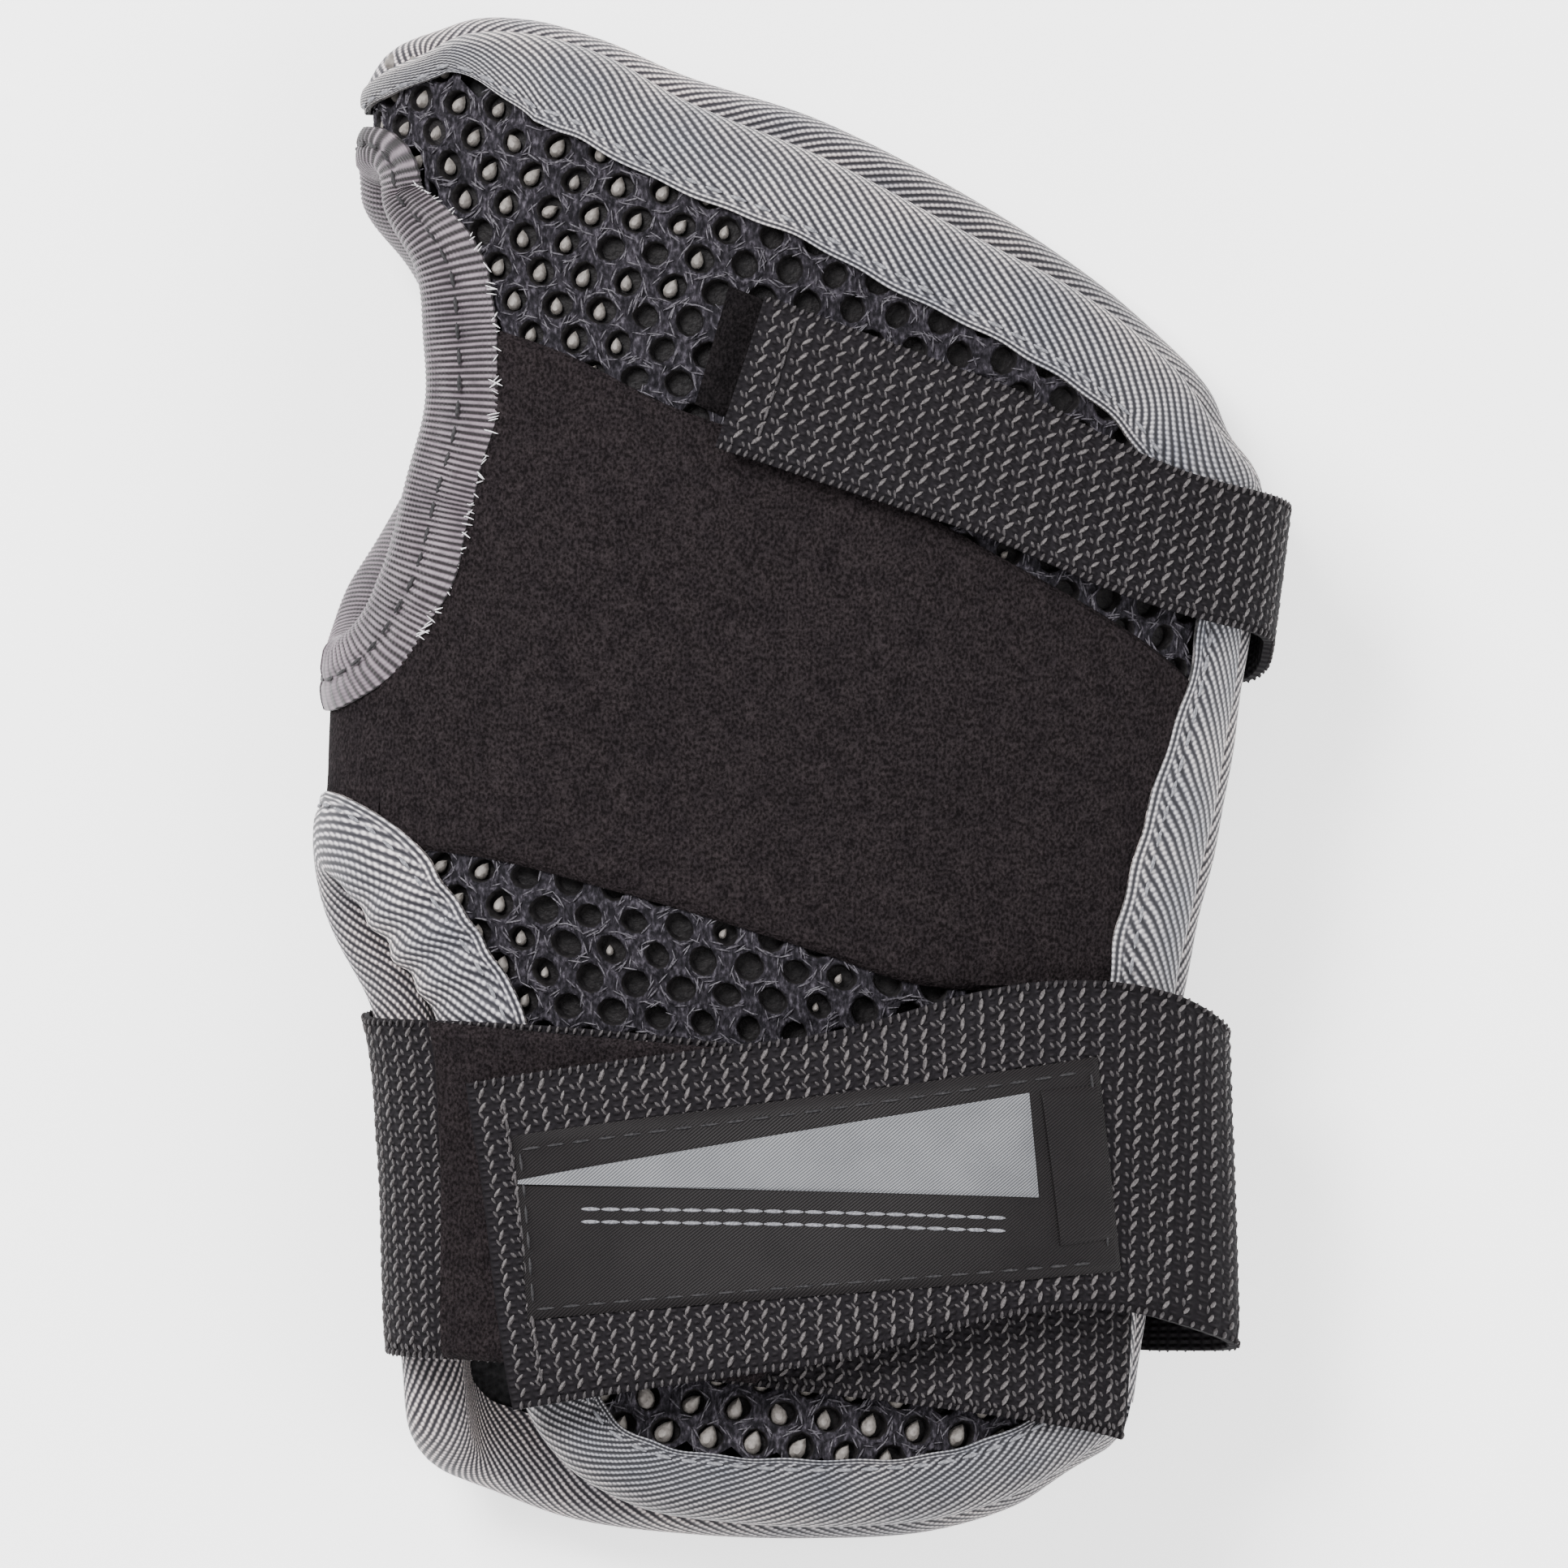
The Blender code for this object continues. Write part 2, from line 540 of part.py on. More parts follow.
def make_wrist_strap():
    tab = [(-36.5, -37), (0, -31.5), (42.5, -25.5)], [(-31, -77.5), (0, -72.5), (39.5, -65.5)]
    wrap = [(0, -30), (STRAP_SEAM, -32)], [(0, -68), (STRAP_SEAM, -70)]
    fold = make_strap("wrist_strap", tab, wrap, WRIST_WEBBING, WRIST_SLACK)
    for name, upper, lower, stack, look, pieces in (
        ("wrist_strap_hook", [(-33, -39), (-4, -35)], [(-28.5, -74.5), (0, -70.5)], WRIST_HOOK, (HOOK_BLACK, 0.5), 5),
        (
            "label_patch",
            [(-31.5, -43.5), (0, -39), (34.5, -33.5)],
            [(-29.5, -66.5), (2, -63.5), (36.5, -60)],
            LABEL,
            (HOOK_BLACK, 0.45),
            10,
        ),
        ("label_wedge", [(-29, -49), (27, -38)], [(-29, -50.4), (28, -51)], LABEL_PRINT, (LABEL_GREY, 0.5), 8),
        ("label_end_tab", [(29, -38), (34.3, -37)], [(30.2, -57), (35.6, -56)], LABEL_PRINT, (BLACK_BRUSHED, 0.6), 3),
    ):
        strap_between(name, back_of(upper), back_of(lower), stack, look, pieces, origin=fold)


make_back()
make_palm()
make_bridges()
make_bindings()
make_wrist_band()
make_hand_strap()
make_wrist_strap()
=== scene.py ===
"""Looks of the right-hand wrist guard: cloth, webbing, binding tape, stitches, label, splint and light.

The sleeve's skin is the one that the solids were made on: it is read at an angle round the wrist and a
distance along it. Every cloth piece is a patch, a strip or a swept tape on that skin, moved in or out by
its place in the stack. Lengths are in millimetres until a mesh is made.
"""

import math

import bmesh
import bpy
import numpy as np
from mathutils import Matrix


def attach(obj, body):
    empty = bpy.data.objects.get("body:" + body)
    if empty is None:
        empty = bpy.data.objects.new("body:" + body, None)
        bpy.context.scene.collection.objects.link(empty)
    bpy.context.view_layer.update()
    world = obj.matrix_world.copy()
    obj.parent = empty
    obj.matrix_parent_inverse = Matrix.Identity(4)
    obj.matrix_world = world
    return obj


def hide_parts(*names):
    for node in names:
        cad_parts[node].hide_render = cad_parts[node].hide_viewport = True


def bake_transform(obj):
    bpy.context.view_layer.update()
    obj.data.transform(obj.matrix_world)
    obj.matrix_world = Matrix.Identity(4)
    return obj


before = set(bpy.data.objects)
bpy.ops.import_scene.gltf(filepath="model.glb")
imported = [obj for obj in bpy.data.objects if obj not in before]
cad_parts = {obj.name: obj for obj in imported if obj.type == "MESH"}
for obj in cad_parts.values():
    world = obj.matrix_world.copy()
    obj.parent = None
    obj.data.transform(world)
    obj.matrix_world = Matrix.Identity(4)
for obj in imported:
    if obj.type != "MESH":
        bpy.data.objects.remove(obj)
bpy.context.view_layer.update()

MM = 0.001
CENTRE = np.array([1.91, -0.458, 0.0])

SIDE_HEIGHT = 22.0
PALM_HEIGHT = 2.9
BACK_ROUNDNESS = 2.1
PALM_ROUNDNESS = 3.6
THUMB_SIDE = (
    (-96, -44), (-70, -46.5), (-45, -47.5), (-29, -49.5), (-14, -56), (2, -56), (50, -52.5), (96, -50.5)
)
LITTLE_SIDE = ((-96, 38), (-70, 42), (-26, 47.5), (1, 53), (26, 56.5), (45, 58.5), (96, 59.5))
BACK_HEIGHT = ((-96, 43), (-60, 41), (-25, 41.5), (20, 44), (60, 43), (96, 41))
FLAT_PALM = (-60.0, 30.0)
CUFF_LIFT = 2.5
FINGER_LIFT = 7.0
SLEEVE_END = 96.0

# Each layer's inner and outer face, out from the skin.
MESH_FACE = 0.0
BACK_LINING = (-3.7, -3.0)
STAY_POCKET = (-7.2, -6.4)
LOOP_PANEL = (0.1, 1.2)
PALM_PANEL = (-1.2, 0.0)
PALM_FOAM = (-3.7, -1.6)
PALM_LINING = (-4.8, -4.1)
ANCHOR_TOP = 1.8
HAND_HOOK = (1.8, 2.7)
HAND_WEBBING = (3.1, 4.6)
BAND_WEBBING = (2.1, 3.3)
BAND_LOOP = (3.3, 4.5)
WRIST_HOOK = (4.9, 5.9)
WRIST_WEBBING = (6.1, 7.7)
LABEL = (7.8, 8.4)
LABEL_PRINT = (8.4, 8.75)

# Binding tape: its flat widths and thickness, the cloth it folds round and what it clears.
TAPE_WIDTH = 9.0
WIDE_TAPE = 9.5
THUMB_WIDTH = 8.4
TAPE = 0.8
BACK_DEPTH = 3.9
PALM_DEPTH = 4.8
OVER_CLOTH = 0.55
EDGE_WAVE = 0.25
OUTER_POINTS = 27
TWILL_RIB = 0.88
TWILL_YARN = 0.6
THUMB_RIB = 0.7
STITCH_PULL = 3.2

# Webbing: the repeat of its yarns and where the straps are sewn to the palm.
YARN_PITCH = 2.25
YARN_STEP = 1.75
SELVEDGE_STEP = 1.05
STRAP_SEAM = -30

# Air mesh: the lattice of holes.
CELL_RIGHT = 5.6
CELL_UP = 3.85
ROW_SLOPE = math.radians(-7)
HOLE_RADIUS = 1.62
HOLE_DEPTH = 1.9
HOLE_POINTS = 12
STRANDS = 9

FLOOR_GLOW = 1.2
FIELD = 0.1932

rng = np.random.default_rng(7)


# ---------------------------------------------------------------- the sleeve's skin


def smooth_through(knots):
    """A smooth curve of value against place, through the knots, for one place or many."""
    place = np.array([knot[0] for knot in knots], float)
    value = np.array([knot[1] for knot in knots], float)
    slope = np.gradient(value, place)

    def read(at):
        at = np.clip(at, place[0], place[-1])
        i = np.clip(np.searchsorted(place, at) - 1, 0, len(place) - 2)
        step = place[i + 1] - place[i]
        t = (at - place[i]) / step
        start = (2 * t**3 - 3 * t**2 + 1) * value[i] + (t**3 - 2 * t**2 + t) * step * slope[i]
        end = (3 * t**2 - 2 * t**3) * value[i + 1] + (t**3 - t**2) * step * slope[i + 1]
        return start + end

    return read


thumb_side = smooth_through(THUMB_SIDE)
little_side = smooth_through(LITTLE_SIDE)
back_height = smooth_through(BACK_HEIGHT)


def palm_lift(along):
    cuff = np.clip((FLAT_PALM[0] - along) / (SLEEVE_END + FLAT_PALM[0]), 0, None)
    fingers = np.clip((along - FLAT_PALM[1]) / (SLEEVE_END - FLAT_PALM[1]), 0, None)
    return CUFF_LIFT * cuff**2 + FINGER_LIFT * fingers**2


def section(along):
    left, right = thumb_side(along), little_side(along)
    depth = SIDE_HEIGHT - PALM_HEIGHT - palm_lift(along)
    return (left + right) / 2, (right - left) / 2, back_height(along) - SIDE_HEIGHT, depth


def on_skin(angle, along):
    angle, along = np.broadcast_arrays(np.asarray(angle, float), np.asarray(along, float))
    middle, half_width, height, depth = section(along)
    cosine, sine = np.cos(np.radians(angle)), np.sin(np.radians(angle))
    roundness = np.where(sine >= 0, BACK_ROUNDNESS, PALM_ROUNDNESS)
    reach = (np.abs(cosine) ** roundness + np.abs(sine) ** roundness) ** (-1 / roundness)
    rise = np.where(sine >= 0, height, depth)
    points = [middle + half_width * reach * cosine, along, SIDE_HEIGHT + rise * reach * sine]
    return np.stack(points, axis=-1)


def ripple(angle, along):
    """The slow waves of a worn sleeve, on the back and sides only."""
    back = np.clip(np.sin(np.radians(angle)) + 0.25, 0, 1)
    waves = np.sin(along / 9.0 + angle / 23.0) * np.sin(angle / 14.0 - along / 31.0)
    return 0.35 * back * waves


def slopes(angle, along):
    round_it = on_skin(angle + 0.5, along) - on_skin(angle - 0.5, along)
    along_it = on_skin(angle, along + 0.5) - on_skin(angle, along - 0.5)
    return round_it, along_it


def unit(vectors):
    return vectors / np.linalg.norm(vectors, axis=-1, keepdims=True)


def outwards(angle, along):
    normal = unit(np.cross(*slopes(angle, along)))
    middle = np.stack([section(along)[0], along, np.full_like(along, SIDE_HEIGHT)], axis=-1)
    facing = np.sum(normal * (on_skin(angle, along) - middle), axis=-1, keepdims=True)
    return np.where(facing < 0, -normal, normal)


def skin(angle, along, out=0.0):
    angle, along = np.broadcast_arrays(np.asarray(angle, float), np.asarray(along, float))
    out = np.asarray(out, float) + ripple(angle, along)
    return on_skin(angle, along) + outwards(angle, along) * np.broadcast_to(out, angle.shape)[..., None]


def split(spots):
    """The angles and the places along of (angle, along) spots."""
    return spots[..., 0], spots[..., 1]


def run_of(line):
    """How far each point of a line is from its start."""
    return np.concatenate([[0.0], np.linalg.norm(np.diff(line, axis=0), axis=1).cumsum()])


def angle_at(across, along, palm=False):
    middle, half_width, _, _ = section(along)
    share = np.clip((across - middle) / half_width, -1, 1)
    roundness = PALM_ROUNDNESS if palm else BACK_ROUNDNESS
    rise = (1 - abs(share) ** roundness) ** (1 / roundness)
    angle = math.degrees(math.atan2(rise, share))
    return 360 - angle if palm else angle


def back_of(points):
    return [(angle_at(x, y), y) for x, y in points]


def palm_of(points):
    return [(angle_at(x, y, palm=True), y) for x, y in points]


def curve_through(points):
    """A smooth curve of (angle, along) over 0 to 1, through the points, spaced by distance on the skin."""
    points = np.array(points, float)
    at = run_of(on_skin(*split(points)))
    at = at / at[-1]
    angle = smooth_through(list(zip(at, points[:, 0])))
    along = smooth_through(list(zip(at, points[:, 1])))
    return lambda t: np.stack([angle(t), along(t)], axis=-1)


def back_curve(points):
    return curve_through(back_of(points))


def patch(left, right, bottom, top):
    """The (angle, along) of a patch between four edge curves, at its shares across and up."""
    corners = bottom(0.0), bottom(1.0), top(0.0), top(1.0)

    def read(u, v):
        u, v = np.broadcast_arrays(np.asarray(u, float), np.asarray(v, float))
        p, q = u[..., None], v[..., None]
        sides = (1 - p) * left(v) + p * right(v) + (1 - q) * bottom(u) + q * top(u)
        flat = (1 - p) * (1 - q) * corners[0] + p * (1 - q) * corners[1]
        return sides - flat - (1 - p) * q * corners[2] - p * q * corners[3]

    return read


def within(place, edge):
    return lambda u, v: place(edge + (1 - 2 * edge) * u, edge + (1 - 2 * edge) * v)


def stretch(curve, start, end):
    return lambda t: curve(start + (end - start) * np.asarray(t, float))


def between(near, far):
    """A strip between two edge curves: u runs along it and v across it."""
    return lambda u, v: near(u) + (far(u) - near(u)) * np.asarray(v, float)[..., None]


def back_strip(upper, lower):
    return between(back_curve(upper), back_curve(lower))


# ---------------------------------------------------------------- edges of the panels

BACK_CUFF = back_of(
    [(-30, -80), (-27, -83.5), (-19, -88), (-7, -90), (8, -90.5), (22, -89), (32, -85), (38.5, -79)]
)
BACK_NOTCH_SIDE = back_of([(-30, -80), (-34, -69), (-38, -53), (-41.5, -31), (-44, -24), (-50.5, -15)])
BACK_THUMB = back_of([(-49.5, 25), (-46.5, 36), (-44.5, 44), (-44.2, 54), (-45.5, 64), (-49, 71)])
BACK_FINGERS = back_of(
    [(-45.5, 89), (-40, 92.5), (-32, 91.8), (-24, 88.3), (-14, 82.8), (3, 75.8), (22, 66), (37, 58)]
    + [(47, 50), (53, 42)]
)
BACK_LITTLE = 12
PALM_LITTLE = 358
PALM_LEFT = 187
back_little = curve_through([(BACK_LITTLE, y) for y in (-79, -30, 37)])
back_cuff = curve_through(BACK_CUFF[:-1] + [(BACK_LITTLE, -79)])
back_fingers = curve_through(BACK_FINGERS + [(BACK_LITTLE, 37)])
back_thumb_side = curve_through(
    BACK_NOTCH_SIDE
    + back_of([(-50.5, 0), (-50.8, 14)])
    + BACK_THUMB
    + back_of([(-48.5, 79)])
    + BACK_FINGERS[:1]
)
back_patch = patch(back_thumb_side, back_little, back_cuff, back_fingers)
PALM_CUFF = palm_of([(-37, -87.5), (-27, -91), (-12, -93), (3, -93.5), (18, -92.5), (28, -89.5), (36, -84.5)])
PALM_THUMB = palm_of([(-46.5, 30), (-42.5, 43), (-42, 54), (-45.5, 66)])
PALM_FINGERS = palm_of(
    [(-46, 89), (-34, 92), (-24, 90), (-14, 86.5), (3.5, 79.5), (23, 69.2), (37, 59.5), (46, 52)]
    + [(51.5, 46.5), (54, 41)]
)
PALM_NOTCH_SIDE = [(PALM_LEFT, y) for y in (-79, -50, -29)] + [(PALM_LEFT + 3, -16)]
palm_little = curve_through([(PALM_LITTLE, y) for y in (-79, -30, 29)])
palm_cuff = curve_through([(PALM_LEFT, -79)] + PALM_CUFF + [(PALM_LITTLE, -79)])
palm_fingers = curve_through(PALM_FINGERS + [(345, 35), (PALM_LITTLE, 29)])
palm_thumb_side = curve_through(
    PALM_NOTCH_SIDE
    + palm_of([(-51.5, 0), (-51.5, 14)])
    + PALM_THUMB
    + palm_of([(-49, 79)])
    + PALM_FINGERS[:1]
)
palm_patch = patch(palm_thumb_side, palm_little, palm_cuff, palm_fingers)


# ---------------------------------------------------------------- materials


class Look:
    """A material being made: its nodes are added by short calls."""

    def __init__(self, name, roughness, metallic=0.0, sheen=0.0, level=0.5):
        self.material = bpy.data.materials.new(name)
        self.material.use_nodes = True
        self.tree = self.material.node_tree
        self.shader = self.tree.nodes["Principled BSDF"]
        for socket, value in (
            ("Roughness", roughness),
            ("Metallic", metallic),
            ("Sheen Weight", sheen),
            ("Sheen Tint", (1, 1, 1, 1)),
            ("Specular IOR Level", level),
        ):
            self.shader.inputs[socket].default_value = value
        self.heights = []

    def add(self, kind, inputs=(), **settings):
        node = self.tree.nodes.new("ShaderNode" + kind)
        for name, value in settings.items():
            setattr(node, name, value)
        for name, value in dict(inputs).items():
            if hasattr(value, "is_linked"):
                self.tree.links.new(value, node.inputs[name])
            else:
                node.inputs[name].default_value = value
        return node

    def math(self, operation, a, b=0.0, c=0.0):
        return self.add("Math", {0: a, 1: b, 2: c}, operation=operation).outputs[0]

    def scaled(self, value, slope, start):
        return self.math("MULTIPLY_ADD", value, slope, start)

    def fade(self, value, start, end, first, last):
        """Goes from first to last while the value goes from start to end."""
        return self.add("MapRange", {0: value, 1: start, 2: end, 3: first, 4: last}).outputs[0]

    def ripples(self, value, pitch):
        """A wave from 0 to 1 along a distance, with the given pitch in millimetres."""
        return self.scaled(self.math("SINE", self.math("MULTIPLY", value, 2 * math.pi / pitch)), 0.5, 0.5)

    def slanted(self, along, across, share, other):
        """The distance in a slanting direction, from the distances along and across."""
        return self.math("ADD", self.math("MULTIPLY", along, share), self.math("MULTIPLY", across, other))

    def place(self):
        return self.add("TexCoord").outputs["Object"]

    def tape_place(self):
        """Distance along and across a strip, in millimetres."""
        parts = self.add("SeparateXYZ", {0: self.add("UVMap", uv_map="weave").outputs[0]})
        return parts.outputs[0], parts.outputs[1]

    def noise(self, size, detail=3.0, stretch_by=(1, 1, 1)):
        """Noise of a grain size in millimetres."""
        scaled = self.add("Mapping", {"Vector": self.place(), "Scale": stretch_by})
        node = self.add("TexNoise", {"Vector": scaled.outputs[0], "Scale": 1 / (size * MM), "Detail": detail})
        return node.outputs["Fac"]

    def ramp(self, value, stops):
        node = self.add("ValToRGB", {0: value})
        while len(node.color_ramp.elements) < len(stops):
            node.color_ramp.elements.new(0.5)
        for element, (at, colour) in zip(node.color_ramp.elements, stops):
            element.position = at
            element.color = (*colour, 1)
        return node.outputs[0]

    def mix(self, share, one, other, blend_type="MIX"):
        node = self.add("Mix", {0: share, 6: one, 7: other}, data_type="RGBA", blend_type=blend_type)
        return node.outputs[2]

    def colour(self, value):
        self.tree.links.new(value, self.shader.inputs["Base Color"])

    def patchy(self, base, patches, dark, light):
        """Sets the colour, multiplied from dark to light in slow patches."""
        shade = self.ramp(patches, [(0.3, dark), (0.7, light)])
        self.colour(self.mix(1.0, base, shade, "MULTIPLY"))

    def rough(self, value):
        self.tree.links.new(value, self.shader.inputs["Roughness"])

    def bump(self, height, depth):
        """Adds relief of a depth in millimetres."""
        node = self.add("Bump", {"Height": height, "Distance": depth * MM, "Strength": 1.0})
        if self.heights:
            self.tree.links.new(self.heights[-1], node.inputs["Normal"])
        self.heights.append(node.outputs[0])
        self.tree.links.new(node.outputs[0], self.shader.inputs["Normal"])


def twill_tape(name, dark, middle, light, start=(1, 1, 1, 1)):
    """Polyester twill: slanting ribs broken into dots, with a selvedge of straight cords on its inner edge.

    Near the beginning of the tape its colour is multiplied by start; a start above 1 is painted light there."""
    look = Look(name, 0.6, sheen=0.1, level=0.3)
    along, across = look.tape_place()
    wandering = look.math("ADD", along, look.scaled(look.noise(6.0, 1), 0.9, -0.45))
    ribs = look.ripples(look.slanted(wandering, across, 0.5, 0.87), TWILL_RIB)
    yarns = look.ripples(look.slanted(along, across, 0.69, -0.72), TWILL_YARN)
    weave = look.math("MULTIPLY", look.math("POWER", ribs, 1.05), look.scaled(yarns, 0.5, 0.5))
    weave = look.math("MULTIPLY", weave, look.scaled(look.noise(0.55, 2), 1.1, 0.5))
    beads = look.scaled(look.ripples(along, 0.75), 0.5, 0.5)
    cords = look.math("MULTIPLY", look.ripples(across, 0.55), beads)
    at_selvedge = look.fade(across, 0.7, 1.2, 1.0, 0.0)
    mixed = look.add("Mix", {0: at_selvedge, 2: weave, 3: cords}).outputs[0]
    base = look.ramp(mixed, [(0.03, dark), (0.34, middle), (0.85, light)])
    # Lighter near the beginning when start is above 1: painted light.
    base = look.mix(look.fade(along, 58.0, 95.0, 1.0, 0.0), base, start, "MULTIPLY")
    # Painted highlight: the colour is lighter and warmer near the tape's fold.
    painted_fold_highlight = look.fade(across, 6.2, 9.8, 0.0, 1.0)
    base = look.mix(painted_fold_highlight, base, (1.2, 1.12, 1.06, 1), "MULTIPLY")
    look.patchy(base, look.noise(11.0, 3), (0.66, 0.68, 0.73), (1.16, 1.1, 1.05))
    look.bump(mixed, 0.26)
    look.bump(look.noise(2.5), 0.12)
    return look.material


def ribbed_tape():
    look = Look("thumb_tape", 0.5, sheen=0.1, level=0.35)
    along, across = look.tape_place()
    lit = look.math("MULTIPLY", look.ripples(along, THUMB_RIB), look.scaled(look.noise(1.6, 3), 0.9, 0.5))
    stops = [(0.1, (0.01, 0.0075, 0.009)), (0.45, (0.052, 0.04, 0.049)), (0.95, (0.172, 0.142, 0.162))]
    look.patchy(look.ramp(lit, stops), look.noise(6.0), (0.75, 0.74, 0.76), (1.12, 1.1, 1.1))
    look.bump(look.ripples(across, 0.45), 0.06)
    return look.material


def brushed_loop(name, dark, light):
    look = Look(name, 0.95, level=0.03)
    fuzz = look.noise(0.34, 5, (1.0, 0.75, 1.0))
    clumps = look.noise(2.6, 3)
    look.patchy(look.ramp(fuzz, [(0.38, dark), (0.72, light)]), clumps, (0.8, 0.8, 0.82), (1.15, 1.14, 1.13))
    look.bump(fuzz, 0.35)
    look.bump(clumps, 0.35)
    return look.material


def knit_threads():
    look = Look("air_mesh", 0.8, level=0.06)
    strands = look.noise(0.45, 4, (1.0, 0.5, 1.0))
    stops = [(0.4, (0.008, 0.0074, 0.009)), (0.57, (0.024, 0.0215, 0.026)), (0.74, (0.078, 0.071, 0.083))]
    look.patchy(look.ramp(strands, stops), look.noise(2.2, 2), (0.6, 0.6, 0.62), (1.15, 1.15, 1.18))
    look.bump(strands, 0.35)
    return look.material


def webbing_ground():
    look = Look("webbing", 0.8, level=0.05)
    along, across = look.tape_place()
    weave = look.math("MULTIPLY", look.ripples(along, 1.3), look.ripples(across, 0.86))
    base = look.ramp(weave, [(0.1, (0.0036, 0.0032, 0.0036)), (0.9, (0.019, 0.017, 0.0185))])
    look.colour(look.mix(look.noise(0.6), base, (0.0125, 0.011, 0.013, 1)))
    look.bump(weave, 0.35)
    look.bump(look.noise(0.5), 0.1)
    return look.material


def satin(name, dark, light, rough=0.42):
    look = Look(name, rough, level=0.06)
    along, across = look.tape_place()
    weave = look.ripples(look.math("ADD", along, look.math("MULTIPLY", across, 1.6)), 0.62)
    base = look.ramp(weave, [(0.1, dark), (0.9, light)])
    look.patchy(base, look.noise(7.0), (0.85, 0.85, 0.86), (1.08, 1.08, 1.08))
    look.bump(weave, 0.06)
    return look.material


def grainy(name, dark, light, grain, depth, relief=None, stops=(0.3, 0.7), rough=0.55, level=0.2, detail=3):
    """Thread, foam or plain cloth: a colour and a relief of fine noise, their grains in millimetres."""
    look = Look(name, rough, level=level)
    look.colour(look.ramp(look.noise(grain, detail), list(zip(stops, (dark, light)))))
    look.bump(look.noise(relief or grain, detail), depth)
    return look.material


def thread(name, dark, light):
    return grainy(name, dark, light, 0.3, 0.03, 0.15)


def webbing_yarn(name, dark, light):
    return grainy(name, dark, light, 0.28, 0.06, stops=(0.25, 0.7), detail=2)


def smooth_cloth(name, dark, light, grain):
    return grainy(name, dark, light, grain, 0.15, rough=0.9, level=0.06)


def moulded_plastic():
    look = Look("splint_plastic", 0.42, level=0.5)
    scuffs = look.noise(1.6, 6, (1.0, 0.15, 1.0))
    look.colour(look.ramp(scuffs, [(0.35, (0.010, 0.010, 0.011)), (0.75, (0.032, 0.032, 0.034))]))
    look.rough(look.math("MULTIPLY_ADD", scuffs, 0.35, 0.25))
    look.bump(look.noise(0.35), 0.03)
    return look.material


def steel():
    look = Look("rivet_steel", 0.3, metallic=1.0)
    scratches = look.noise(0.9, 4, (1.0, 0.2, 1.0))
    look.colour(look.ramp(scratches, [(0.3, (0.42, 0.42, 0.43)), (0.7, (0.62, 0.62, 0.63))]))
    look.bump(scratches, 0.02)
    return look.material

LOOKS = {
    "binding_tape": twill_tape(
        "binding_tape", (0.008, 0.008, 0.012), (0.082, 0.082, 0.095), (0.56, 0.55, 0.57)
    ),
    # A darker copy of the binding tape: painted shade on the cuff's tapes and the finger tape on the palm
    # side; its start colour lightens the beginning as painted light.
    "cuff_tape": twill_tape(
        "cuff_tape", (0.005, 0.005, 0.008), (0.042, 0.042, 0.051), (0.38, 0.38, 0.405), (1.65, 1.6, 1.58, 1)
    ),
    "thumb_tape": ribbed_tape(),
    "loop_fabric": brushed_loop("loop_fabric", (0.0052, 0.0042, 0.0045), (0.023, 0.0185, 0.02)),
    # A darker copy of the loop fabric: painted shade.
    "shaded_loop": brushed_loop("loop_fabric_shaded", (0.003, 0.0026, 0.0028), (0.012, 0.0102, 0.011)),
    "air_mesh": knit_threads(),
    "mesh_hole": grainy(
        "air_mesh_hole", (0.0065, 0.006, 0.0065), (0.017, 0.0155, 0.016), 0.8, 0.2, 0.5, (0.3, 0.8), 0.5, 0.06
    ),
    "foam": grainy("foam", (0.12, 0.108, 0.1), (0.235, 0.216, 0.202), 0.7, 0.1, 0.4, rough=0.7),
    "webbing": webbing_ground(),
    "yarn": webbing_yarn("webbing_yarn", (0.03, 0.027, 0.028), (0.118, 0.107, 0.108)),
    "low_yarn": webbing_yarn("webbing_low_yarn", (0.013, 0.0115, 0.0125), (0.06, 0.054, 0.056)),
    "mesh_strand": thread("mesh_strand", (0.02, 0.018, 0.022), (0.105, 0.097, 0.112)),
    "label_satin": satin("label_satin", (0.005, 0.0045, 0.0047), (0.0165, 0.0145, 0.0152)),
    "label_print": satin("label_print", (0.066, 0.069, 0.075), (0.215, 0.216, 0.226), 0.5),
    "lining": smooth_cloth("lining", (0.012, 0.012, 0.013), (0.04, 0.039, 0.041), 0.8),
    "palm_fabric": smooth_cloth("palm_fabric", (0.010, 0.010, 0.011), (0.036, 0.035, 0.037), 1.2),
    "splint_plastic": moulded_plastic(),
    "rivet_steel": steel(),
    "hook_tape": grainy(
        "hook_tape", (0.008, 0.008, 0.008), (0.045, 0.044, 0.046), 0.5, 0.2, 0.4, (0.35, 0.7), level=0.15
    ),
    "stay_aluminium": steel(),
    "dark_thread": thread("dark_thread", (0.005, 0.005, 0.006), (0.03, 0.028, 0.03)),
    "grey_thread": thread("grey_thread", (0.08, 0.08, 0.09), (0.24, 0.24, 0.26)),
    "pale_thread": thread("pale_thread", (0.42, 0.4, 0.42), (0.72, 0.7, 0.72)),
}


# ---------------------------------------------------------------- meshes


